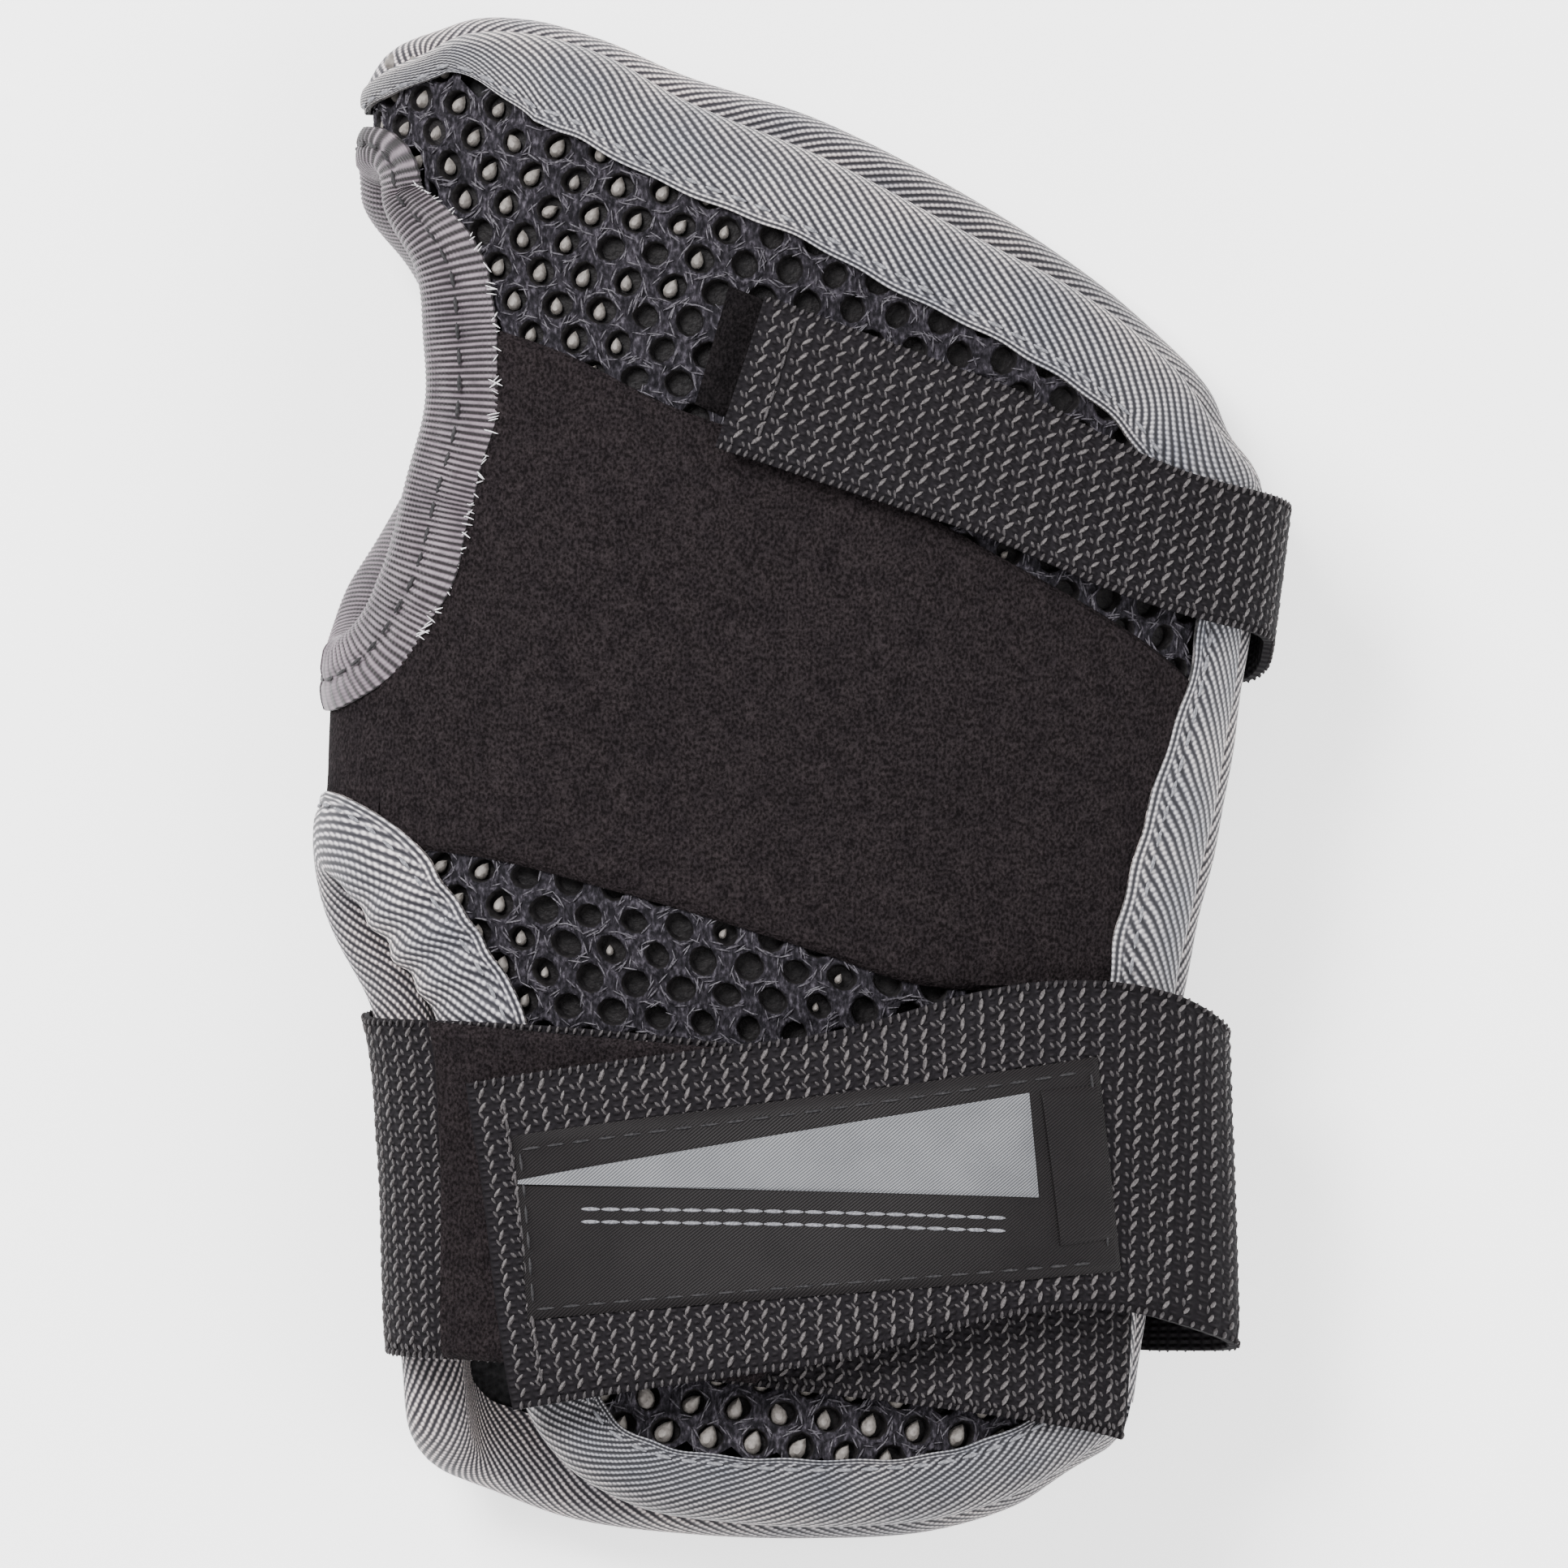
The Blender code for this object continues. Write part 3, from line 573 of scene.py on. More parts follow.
def make_piece(name, points, faces, looks, face_looks=None, uv=None):
    """A shown piece from points in millimetres and faces; uv is each point's place on the weave."""
    mesh = bpy.data.meshes.new(name)
    places = (np.asarray(points) - CENTRE) * MM
    mesh.from_pydata(places.tolist(), [], [list(map(int, face)) for face in faces])
    for look in looks:
        mesh.materials.append(LOOKS[look])
    if face_looks is not None:
        mesh.polygons.foreach_set("material_index", np.asarray(face_looks, np.int32))
    if uv is not None:
        corner = np.empty(len(mesh.loops), np.int32)
        mesh.loops.foreach_get("vertex_index", corner)
        layer = mesh.uv_layers.new(name="weave")
        layer.data.foreach_set("uv", np.asarray(uv, np.float32)[corner].ravel())
    mesh.shade_smooth()
    mesh.set_sharp_from_angle(angle=math.radians(50))
    mesh.update()
    piece = bpy.data.objects.new(name, mesh)
    bpy.context.scene.collection.objects.link(piece)
    return piece


def turn_out(piece):
    """Turns the faces of a closed piece outwards."""
    shape = bmesh.new()
    shape.from_mesh(piece.data)
    bmesh.ops.recalc_face_normals(shape, faces=shape.faces)
    shape.to_mesh(piece.data)
    shape.free()
    return piece


def assign(piece, body, slot, *nodes):
    """Hides the nodes that a piece stands for and ties it to the body that it moves with. The slot is not
    used.
    """
    if nodes:
        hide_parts(*nodes)
    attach(piece, body)
    return piece


def grid_faces(rows, columns, start=0, closed=False):
    """Quads of a grid of points, joined round its columns if closed."""
    faces = []
    for i in range(rows - 1):
        low, high = start + i * columns, start + (i + 1) * columns
        for j in range(columns if closed else columns - 1):
            k = (j + 1) % columns
            faces.append((low + j, low + k, high + k, high + j))
    return faces


def slab(name, outer, inner, look, uv):
    """A closed slab between two matching grids of points."""
    rows, columns = outer.shape[:2]
    count = rows * columns
    points = np.concatenate([outer.reshape(-1, 3), inner.reshape(-1, 3)])
    faces = grid_faces(rows, columns) + grid_faces(rows, columns, count)
    rim = [j for j in range(columns)] + [i * columns + columns - 1 for i in range(1, rows)]
    rim += [(rows - 1) * columns + j for j in range(columns - 2, -1, -1)]
    rim += [i * columns for i in range(rows - 2, 0, -1)]
    faces += [(a, b, b + count, a + count) for a, b in zip(rim, rim[1:] + rim[:1])]
    return turn_out(make_piece(name, points, faces, [look], uv=np.concatenate([uv, uv]).reshape(-1, 2)))


def edge_fall(share, steps):
    """1 in the middle and 0 at both ends, with a round shoulder this many shares wide."""
    near = np.clip(np.minimum(share, 1 - share) / steps, 0, 1)
    return np.sqrt(1 - (1 - near) ** 2)


def cloth_slab(name, place, stack, look, across, up, shoulder=0.03):
    """A cloth patch with rounded edges."""
    u, v = np.meshgrid(np.linspace(0, 1, across + 1), np.linspace(0, 1, up + 1))
    angle, along = split(place(u, v))
    thick = (stack[1] - stack[0]) * (0.25 + 0.75 * edge_fall(u, shoulder) * edge_fall(v, shoulder))
    outer, inner = skin(angle, along, stack[0] + thick), skin(angle, along, stack[0])
    uv = np.zeros(outer.shape[:2] + (2,))
    uv[:, 1:, 0] = np.linalg.norm(np.diff(outer, axis=1), axis=2).cumsum(axis=1)
    uv[1:, :, 1] = np.linalg.norm(np.diff(outer, axis=0), axis=2).cumsum(axis=0)
    return slab(name, outer, inner, look, uv)


# Small repeated shapes, laid on the skin.


def bead(length, width, height, around=6, rings=3):
    """A long low bead, lying along x: its points and faces."""
    points = []
    for i in range(rings + 1):
        t = math.pi * (0.08 + 0.84 * i / rings)
        for j in range(around):
            turn = 2 * math.pi * j / around
            side, up = math.cos(turn) * math.sin(t) * width / 2, math.sin(turn) * math.sin(t) * height
            points.append((-math.cos(t) * length / 2, side, up))
    faces = grid_faces(rings + 1, around, closed=True)
    faces.append(tuple(range(around)))
    faces.append(tuple(rings * around + j for j in range(around)))
    return np.array(points), faces


def turned(x, z, turn):
    """Axes turned round z by this many radians, from the direction x."""
    y = np.cross(z, x)
    return x * np.cos(turn) + y * np.sin(turn), y * np.cos(turn) - x * np.sin(turn), z


def axes_at(angle, along, heading):
    """Unit axes on the skin, with x at heading degrees from the way round the sleeve."""
    return turned(unit(-slopes(angle, along)[0]), outwards(angle, along), np.radians(heading)[..., None])


def scattered(shape, centres, axes, sizes=None):
    """Points and faces of one shape, copied to each centre and turned to its axes."""
    points, faces = shape
    if sizes is None:
        sizes = np.ones(len(centres))
    placed = centres[:, None, :]
    for k, axis in enumerate(axes):
        placed = placed + points[None, :, k : k + 1] * axis[:, None, :] * sizes[:, None, None]
    count = len(points)
    copies = [tuple(k + n * count for k in face) for n in range(len(centres)) for face in faces]
    return placed.reshape(-1, 3), copies


def strand_line(name, curve, out, look, length=2.3, gap=0.9, width=0.42):
    """A row of stitches along a curve of (angle, along) on the skin."""
    t = np.linspace(0, 1, 400)
    at = run_of(skin(*split(curve(t)), out))
    share = np.interp(np.arange(length / 2 + 0.4, at[-1] - length / 2, length + gap), at, t)
    ahead, behind = (curve(np.clip(share + step, 0, 1)) for step in (0.004, -0.004))
    x = unit(skin(*split(ahead), out) - skin(*split(behind), out))
    z = outwards(*split(curve(share)))
    shape = bead(length, width, width * 0.45, 6, 4)
    points, faces = scattered(shape, skin(*split(curve(share)), out), (x, np.cross(z, x), z))
    return make_piece(name, points, faces, [look])


# ---------------------------------------------------------------- binding tape


def dot(p, q):
    return np.sum(p * q, -1)


def inset_curve(edge, inwards, inset):
    """The curve that runs this far inside a bound edge."""

    def read(t):
        t = np.asarray(t, float)
        spots = edge(t)
        ahead, behind = edge(np.clip(t + 0.01, 0, 1)), edge(np.clip(t - 0.01, 0, 1))
        course = unit(on_skin(*split(ahead)) - on_skin(*split(behind)))
        round_it, along_it = slopes(*split(spots))
        into = np.cross(outwards(*split(spots)), course) * inwards
        rr, ra, aa = dot(round_it, round_it), dot(round_it, along_it), dot(along_it, along_it)
        br, ba = dot(round_it, into), dot(along_it, into)
        scale = rr * aa - ra**2
        step = np.stack([(br * aa - ba * ra) / scale, (ba * rr - br * ra) / scale], axis=-1)
        return spots + step * np.asarray(inset, float)

    return read


def tape_profile(depth, width, rise):
    """Points (inset, out) round the folded tape: its outer leaf, fold and inner leaf, then back inside."""
    top, bottom = 0.5 + TAPE + rise, -depth - 0.5 - TAPE
    middle, half = (top + bottom) / 2, (top - bottom) / 2
    leaf = []
    for s in np.linspace(0, 0.86, 14):
        leaf.append((width * (1 - s), top + 0.35 * math.sin(math.pi * s) - 0.4 * (1 - s) ** 6))
    turns = np.linspace(math.pi / 2, -math.pi / 2, 11)[1:-1]
    fold = [(1.2 - 2.3 * math.cos(a), middle + half * math.sin(a)) for a in turns]
    inner = [(width * s, bottom) for s in (0.14, 0.5, 0.9, 1.0)]
    back = [(width, bottom + TAPE * 0.7), (0.6, bottom + TAPE), (0.6, 0.45), (width * 0.5, 0.45)]
    back.append((width, top - 1.0))
    return np.array(leaf + fold + inner + back)


def full_width(share):
    return np.ones_like(share)


def gathers(line, reached, place):
    """Crowded folds in a tape near one place on the skin, from -1 to 1."""
    from_place = reached - reached[np.argmin(np.linalg.norm(line - on_skin(*place), axis=1))]
    return np.sin(from_place * 2 * math.pi / 5.2 + 0.9) * np.exp(-((from_place / 8.5) ** 2))


def tape(
    name, edge, inwards, depth, look, width, pucker=0.16, stitch="grey_thread", from_edge=1.7, rib=None,
    rise=0.0, leaf=full_width, gathered_at=None
):
    """Folded tape swept along a bound edge, with its row of stitches and small puckers.

    leaf(t) is the share of the width that it has along the edge."""
    t = np.linspace(0, 1, 400)
    at = run_of(on_skin(*split(edge(t))))
    count = max(int(at[-1] / (rib / 4 if rib else 0.8)), 8)
    reached = np.linspace(0, at[-1], count)
    share = np.interp(reached, at, t)
    profile = tape_profile(depth, width, rise)
    around = run_of(profile)
    groove = np.exp(-(((profile[:, 0] - (width - from_edge)) / 0.7) ** 2)) * (profile[:, 1] > 0)
    seed = sum(map(ord, name))
    wave = EDGE_WAVE * np.sin(reached / 5.3 + seed) * np.sin(reached / 2.1 + 1.7 * seed)
    slow = np.sin(reached / 3.1 + seed) * np.sin(reached / 7.7 + seed * 2) * pucker
    folds = gathers(on_skin(*split(edge(share))), reached, gathered_at) if gathered_at else np.zeros(count)
    points, uv = [], []
    for j, (inset, out) in enumerate(profile):
        reach_in = max(inset, 0.0) / width
        insets = inset * (leaf(share) if inset > 0 else full_width(share)) + wave * reach_in**4
        spots = inset_curve(edge, inwards, insets[:, None])(share)
        puckers = slow + folds * (0.75 - 0.25 * reach_in)
        tugs = 0.18 * np.sin(reached * 2 * math.pi / STITCH_PULL) * groove[j]
        if rib:
            tugs = tugs - 0.13 * np.sin(reached * 2 * math.pi / rib + 0.25 * inset)
        points.append(skin(*split(spots), out + puckers * (out > 0) - 0.34 * groove[j] - tugs))
        uv.append(np.stack([reached, np.full(count, around[j])], axis=1))
    columns = len(profile)
    faces = grid_faces(count, columns, closed=True)
    faces += [tuple(end + k for k in range(OUTER_POINTS)) for end in (0, (count - 1) * columns)]
    points, uv = np.stack(points, axis=1).reshape(-1, 3), np.stack(uv, axis=1).reshape(-1, 2)
    piece = turn_out(make_piece(name, points, faces, [look], uv=uv))
    seam_inset = width - from_edge
    row = stretch(lambda t: inset_curve(edge, inwards, (seam_inset * leaf(t))[..., None])(t), 0.01, 0.99)
    seam_out = 0.5 + TAPE + rise + (0.3 if rib else -0.1)
    strand_line(name + "_stitches", row, seam_out, stitch, 2.2, 1.0, 0.55).parent = piece
    return piece


def bridge_edge(angle):
    """How far along the mesh reaches where it rounds the index finger's side."""
    return np.interp(angle, (153, 163, 186, 214), (88.0, 87.0, 84.6, 89.4))


def narrowing(edge, part, places, shares):
    """A tape's width along an edge, by the angle (part 0) or the place along (part 1) that it has reached."""
    return lambda t: np.interp(edge(t)[..., part], places, shares)


def narrow_at_top(edge):
    """The width of a thumb tape, which narrows where it turns under the index finger."""
    return narrowing(edge, 1, (61, 71), (1.0, 0.62))


def bind(node, edge, inwards, depth, look, width, *more_nodes, **settings):
    """The tape on one half of an edge."""
    piece = tape(node + "_tape", edge, inwards, depth, look, width, **settings)
    slot = "thumb_tape" if look == "thumb_tape" else "binding_tape"
    assign(piece, "guard_body", slot, node, *more_nodes)


def bind_cuff():
    notch = [(PALM_LEFT, y) for y in (-40, -30, -20)] + [(182, -13.5), (173, -11), (163, -12.5)]
    slit = back_of([(-50.5, -17.5), (-46.5, -23), (-42, -31), (-38, -53), (-34, -69), (-30, -80)])
    above = curve_through(notch + slit + BACK_CUFF[1:-1] + [(BACK_LITTLE + 6, -80)])
    below = curve_through([(PALM_LEFT, y) for y in (-38, -58, -79)] + PALM_CUFF + [(PALM_LITTLE - 8, -80)])
    leaf = narrowing(above, 1, (-87, -74), (0.74, 1.0))
    settings = {"rise": OVER_CLOTH, "leaf": leaf, "gathered_at": (151, -21)}
    # Both cuff tapes take the darker tape look: painted shade.
    bind("cuff_binding_dorsal", above, 1, BACK_DEPTH, "cuff_tape", WIDE_TAPE, "notch_binding", **settings)
    bind("cuff_binding_palm", below, -1, PALM_DEPTH, "cuff_tape", TAPE_WIDTH)


def bind_fingers():
    above = curve_through(
        [(angle, bridge_edge(angle)) for angle in (188, 178, 167)]
        + back_of([(-46, 88.2), (-40, 90.8), (-32, 90.6)])
        + BACK_FINGERS[3:]
        + [(BACK_LITTLE, y) for y in (36, 30, 25)]
    )
    corner = palm_of([(-44, 92), (-39, 93.6), (-33, 93.6), (-24, 91.3), (-14, 87)])
    slope = palm_of([(3.5, 81.2), (23, 71.1), (37, 61.8), (46.5, 53.7), (52, 47.8), (54.7, 42)])
    side = [(345, 36), (PALM_LITTLE, 30), (PALM_LITTLE, 24.5)]
    below = curve_through([(186, bridge_edge(186)), (197, 86.5), (208, 89.5)] + corner + slope + side)
    leaf = narrowing(above, 0, (126, 147), (1.0, 0.3))
    bind("finger_binding_dorsal", above, -1, BACK_DEPTH, "binding_tape", WIDE_TAPE, rise=0.25, leaf=leaf)
    leaf = narrowing(below, 0, (192, 216), (0.3, 1.0))
    # The finger tape on the palm side takes the darker tape look: painted shade.
    bind("finger_binding_palm", below, 1, PALM_DEPTH, "cuff_tape", TAPE_WIDTH, leaf=leaf)


def bind_little_side():
    above, below = stretch(back_little, 0.02, 0.9), stretch(palm_little, 0.02, 0.97)
    settings = {"rise": OVER_CLOTH, "leaf": lambda t: np.interp(t, (0.7, 0.9), (1.0, 0.76))}
    bind("ulnar_binding_dorsal", above, 1, BACK_DEPTH, "binding_tape", TAPE_WIDTH, **settings)
    bind("ulnar_binding_palm", below, -1, PALM_DEPTH, "binding_tape", TAPE_WIDTH)


def bind_thumb():
    top = [(165, 75), (172, 75.5), (180, 75)]
    above = curve_through([(180, 17), (172, 16.8), (165, 18)] + BACK_THUMB + top)
    round_hole = palm_of([(-53, 25), (-49, 32), (-45, 40), (-43, 48), (-43.3, 56), (-47, 64.5), (-51, 71)])
    top = [(193, 74.5), (187, 75), (180, 75)]
    below = curve_through([(180, 17), (188, 17.3), (196, 19)] + round_hole + top)
    settings = {"pucker": 0.28, "stitch": "dark_thread", "from_edge": 3.8, "rib": THUMB_RIB}
    for node, edge, inwards, depth in (
        ("thumb_binding_dorsal", above, -1, BACK_DEPTH),
        ("thumb_binding_palm", below, 1, PALM_DEPTH),
    ):
        leaf = narrow_at_top(edge)
        bind(node, edge, inwards, depth, "thumb_tape", THUMB_WIDTH, rise=OVER_CLOTH, leaf=leaf, **settings)
    frays(above)


def frays(edge):
    """Pale loose thread ends along the inner edge of the thumb hole's tape."""
    share = np.sort(rng.uniform(0.16, 0.86, 70))
    spots = inset_curve(edge, -1, 8.3 * narrow_at_top(edge)(share)[:, None])(share)
    axes = axes_at(*split(spots), rng.uniform(120, 240, len(share)))
    sizes = rng.uniform(0.5, 1.15, len(share))
    points, faces = scattered(bead(1.9, 0.2, 0.12, 5, 4), skin(*split(spots), 1.5), axes, sizes)
    assign(make_piece("thumb_tape_frays", points, faces, ["pale_thread"]), "guard_body", "thumb_tape")


# ---------------------------------------------------------------- air mesh


def circumcentre(a, b):
    """The point as far from the origin as from a and from b."""
    return np.linalg.solve(2 * np.array([a, b]), np.array([a @ a, b @ b]))


def inside(points, outline):
    """Which points lie within a closed outline."""
    x, y = points[:, 0], points[:, 1]
    found = np.zeros(len(points), bool)
    for (ax, ay), (bx, by) in zip(outline, np.roll(outline, -1, axis=0)):
        crosses = (ay > y) != (by > y)
        found ^= crosses & (x < (bx - ax) * (y - ay) / (by - ay + 1e-12) + ax)
    return found


def outline_of(place, steps=40):
    s = np.linspace(0, 1, steps)
    edges = [place(s, 0 * s), place(0 * s + 1, s), place(s[::-1], 0 * s + 1), place(0 * s, s[::-1])]
    return np.concatenate(edges)


def flat_to_skin():
    """Turns flat places (distance across the back, along) into skin angles, true at the middle."""
    angles = np.linspace(-20, 224, 489)
    line = on_skin(angles, np.zeros_like(angles))
    reach = np.concatenate([[0], np.linalg.norm(np.diff(line, axis=0), axis=1).cumsum()])
    reach -= np.interp(90, angles, reach)

    def read(across, along):
        scale = section(0.0)[1] / section(along)[1]
        return np.interp(-across * scale, reach, angles), along

    return read


def lattice():
    """The two steps of the lattice and the points round one cell."""
    turn = np.array([[math.cos(ROW_SLOPE), -math.sin(ROW_SLOPE)], [math.sin(ROW_SLOPE), math.cos(ROW_SLOPE)]])
    right, up = turn @ np.array([CELL_RIGHT, 0]), turn @ np.array([CELL_RIGHT / 2, CELL_UP])
    around = [right, up, up - right, -right, -up, right - up]
    corners = [circumcentre(a, b) for a, b in zip(around, around[1:] + around[:1])]
    rim = []
    for a, b in zip(corners, corners[1:] + corners[:1]):
        rim += [a, (a + b) / 2]
    return right, up, np.array(rim)


def hole_centres(right, up, to_skin):
    """Centres of the holes, on the back and round the index finger's side, that stay in sight."""
    i, j = np.meshgrid(np.arange(-40, 41), np.arange(-40, 41))
    centres = i.reshape(-1, 1) * right + j.reshape(-1, 1) * up
    spots = np.stack(to_skin(centres[:, 0], np.clip(centres[:, 1], -95, 95)), axis=1)
    shown = inside(spots, outline_of(within(back_patch, 0.035))) & (abs(centres[:, 1]) < 95)
    shown |= (abs(centres[:, 1] - 83.5) < 5.5) & (spots[:, 0] > 145) & (spots[:, 0] < 212)
    return centres[shown & ~inside(spots, outline_of(within(loop_place(), 0.06)))]


def make_air_mesh():
    """The knitted mesh: a lattice of round holes with dark walls, and the foam that shows at their floors."""
    right, up, rim = lattice()
    turns = np.arctan2(rim[:, 1], rim[:, 0])
    circle = np.stack([np.cos(turns), np.sin(turns)], axis=1)
    to_skin = flat_to_skin()
    centres = hole_centres(right, up, to_skin)
    radius = HOLE_RADIUS * rng.uniform(0.9, 1.08, len(centres))
    levels = [(None, -0.12), (1.32, 0.08), (1.08, -0.1), (1.0, -0.5), (0.86, -HOLE_DEPTH)]
    points, faces, kinds = [], [], []
    for number, (centre, size) in enumerate(zip(centres, radius)):
        wobble = 1 + 0.07 * np.sin(2 * turns + number)
        for reach, height in levels:
            ring = rim if reach is None else circle * (size * reach * wobble)[:, None]
            points.append(np.column_stack([centre + ring, np.full(HOLE_POINTS, height)]))
        start = number * HOLE_POINTS * len(levels)
        floor = start + HOLE_POINTS * (len(levels) - 1)
        faces += grid_faces(len(levels), HOLE_POINTS, start, closed=True)
        faces.append(tuple(range(floor, floor + HOLE_POINTS)))
        kinds += [0] * (2 * HOLE_POINTS) + [1] * (2 * HOLE_POINTS + 1)
    flat = np.concatenate(points)
    angle, along = to_skin(flat[:, 0], flat[:, 1])
    on_bridge = (angle > 150) & (along > 60)
    along = np.where(on_bridge, np.clip(along, 77.5, bridge_edge(angle) - 0.3), along)
    placed = skin(angle, along, MESH_FACE + flat[:, 2])
    piece = make_piece("air_mesh_panel", placed, faces, ["air_mesh", "mesh_hole"], kinds)
    assign(piece, "guard_body", "air_mesh", "dorsal_mesh_panel")
    foam_in_holes(centres, to_skin)
    strands_round_holes(centres, radius, to_skin)


def strands_round_holes(centres, radius, to_skin):
    """Loose knitted strands that run round each hole."""
    turns = rng.uniform(0, 2 * math.pi, (len(centres), STRANDS))
    away = radius[:, None] * rng.uniform(1.12, 1.55, turns.shape)
    flat = centres[:, None, :] + np.stack([np.cos(turns), np.sin(turns)], axis=-1) * away[..., None]
    angle, along = to_skin(*split(flat.reshape(-1, 2)))
    kept = (along < 88) & ~((angle > 148) & (along > 60) & ((along > bridge_edge(angle) - 1) | (angle > 208)))
    angle, along, turns = angle[kept], along[kept], turns.ravel()[kept]
    axes = axes_at(angle, along, np.degrees(turns) + 90 + rng.normal(0, 22, len(turns)))
    sizes = rng.uniform(0.7, 1.15, len(turns))
    points, faces = scattered(bead(1.7, 0.24, 0.16, 5, 3), skin(angle, along, MESH_FACE + 0.1), axes, sizes)
    assign(make_piece("air_mesh_strands", points, faces, ["mesh_strand"]), "guard_body", "air_mesh")


def foam_in_holes(centres, to_skin):
    """Tear-shaped bits of pale foam low in the holes, most of them towards the thumb and the cuff."""
    tear = []
    for height, reach in ((0.0, 1.0), (0.55, 0.84), (1.05, 0.4)):
        for k in range(10):
            turn = 2 * math.pi * k / 10
            tip = 1 + 0.6 * max(0, math.cos(turn)) ** 5
            tear.append((0.95 * reach * math.cos(turn) * tip, 0.84 * reach * math.sin(turn), height))
    faces = grid_faces(3, 10, closed=True) + [tuple(range(20, 30))]
    across, along = centres[:, 0], centres[:, 1]
    share = np.interp(across, [-28, -18, -8, 2], [0.97, 0.85, 0.45, 0.1])
    share = np.where(along < 60, np.minimum(share, np.interp(across, [-27, -21], [0.97, 0.06])), share)
    share = np.where(along < 0, np.interp(across, [-34, -26], [0.96, 0.08]), share)
    low = along < -60
    share = np.where(low, 0.97, share)
    seen = rng.uniform(0, 1, len(centres)) < share
    places = centres[seen] + np.array([-0.42, -0.34])
    sizes = rng.uniform(0.78, 1.08, len(places)) * np.interp(share[seen], [0.1, 0.9], [0.6, 1.0])
    sizes *= np.where(low[seen], 1.35, 1.0)
    angle, along = to_skin(*split(places))
    centre = skin(angle, along, MESH_FACE - HOLE_DEPTH + 0.5)
    axes = axes_at(angle, along, rng.normal(68, 16, len(places)))
    points, faces = scattered((np.array(tear), faces), centre, axes, sizes)
    assign(make_piece("foam_in_mesh_holes", points, faces, ["foam"]), "guard_body", "foam")


# ---------------------------------------------------------------- cloth panels


def panel(name, place, stack, look, across, up, slot, *nodes, shoulder=0.03, body="guard_body"):
    """A cloth patch that stands for nodes of a body."""
    return assign(cloth_slab(name, place, stack, look, across, up, shoulder), body, slot, *nodes)


def loop_place():
    thumb = back_curve([(-50, -8), (-50.5, 11), (-46, 27), (-41.5, 42), (-40.5, 57)])
    little = curve_through([(29, -25), (28, -6), (27, 12)])
    low = curve_through(back_of([(-50, -8), (-38, -9.5), (-22, -13.5), (3, -21), (15, -25)]) + [(29, -25)])
    high = curve_through(back_of([(-40.5, 57), (-28, 52.5), (-15, 46), (2, 40), (30, 25)]) + [(27, 12)])
    return patch(thumb, little, low, high)


def thumb_bridge_place():
    return patch(
        curve_through([(149, -10), (149, 15)]),
        curve_through([(226, -13), (226, 17)]),
        curve_through([(149, -10), (180, -10), (200, -13), (226, -13)]),
        curve_through([(149, 15), (180, 15), (200, 16), (226, 17)]),
    )


def index_bridge_place():
    return patch(
        curve_through([(146, 77), (146, 88)]),
        curve_through([(232, 75), (232, 88)]),
        curve_through([(146, 77), (180, 77), (206, 76), (232, 75)]),
        curve_through([(146, 88), (166, 86), (186, 83.8), (212, 88), (232, 88)]),
    )


def make_panels():
    cloth = "loop_fabric"
    place, node = loop_place(), "dorsal_loop_panel"
    loop = panel("loop_fabric_panel", place, LOOP_PANEL, cloth, 90, 70, cloth, node, shoulder=0.015)
    bridge = thumb_bridge_place()
    panel("thumb_bridge_cloth", bridge, (-2.6, 0.9), cloth, 50, 24, cloth, "thumb_bridge", shoulder=0.02)
    bridge = index_bridge_place()
    panel("index_bridge_backing", bridge, (-2.2, -1.1), "mesh_hole", 34, 10, "air_mesh", "index_bridge")
    # Loop fabric under the hand strap's end in the darker loop look: real cloth, darkened with painted shade
    # from the strap's end.
    under_strap = back_strip([(-11.5, 46), (-7.3, 60.5)], [(12, 36), (14, 52)])
    panel("loop_fabric_strap_patch", under_strap, LOOP_PANEL, "shaded_loop", 16, 20, cloth)
    sleeve, below = within(back_patch, 0.02), within(palm_patch, 0.03)
    back = panel("back_lining_cloth", sleeve, BACK_LINING, "lining", 60, 70, "lining", "dorsal_lining")
    palm = panel("palm_outer_cloth", below, PALM_PANEL, "palm_fabric", 70, 70, "palm_fabric", "palm_panel")
    inner = panel("palm_lining_cloth", below, PALM_LINING, "lining", 60, 60, "lining", "palm_lining")
    pocket = back_strip([(-15, -76), (-13.5, -16), (-12, 44)], [(15, -76), (16.5, -16), (18, 44)])
    panel("stay_pocket_cloth", pocket, STAY_POCKET, "lining", 40, 16, "lining", "stay_pocket")
    place = within(palm_patch, 0.18)
    pad = panel("palm_foam_pad", place, PALM_FOAM, "foam", 40, 40, "foam", "palm_foam", shoulder=0.2)


# ---------------------------------------------------------------- webbing

# Each yarn of the weave: its offset in the repeat, length, width, height and slant in degrees.
YARNS = ((0.0, 1.5, 0.6, 0.34, 57), (0.5, 0.9, 0.5, 0.22, -50), (0.16, 1.0, 0.46, 0.26, -62))
CROWN = 0.32


def strip_lengths(near, far):
    """Shares along a strip, how far each is from its start, and the strip's mean width."""
    t = np.linspace(0, 1, 200)
    a, b = on_skin(*split(near(t))), on_skin(*split(far(t)))
    return t, run_of((a + b) / 2), np.linalg.norm(a - b, axis=1).mean()


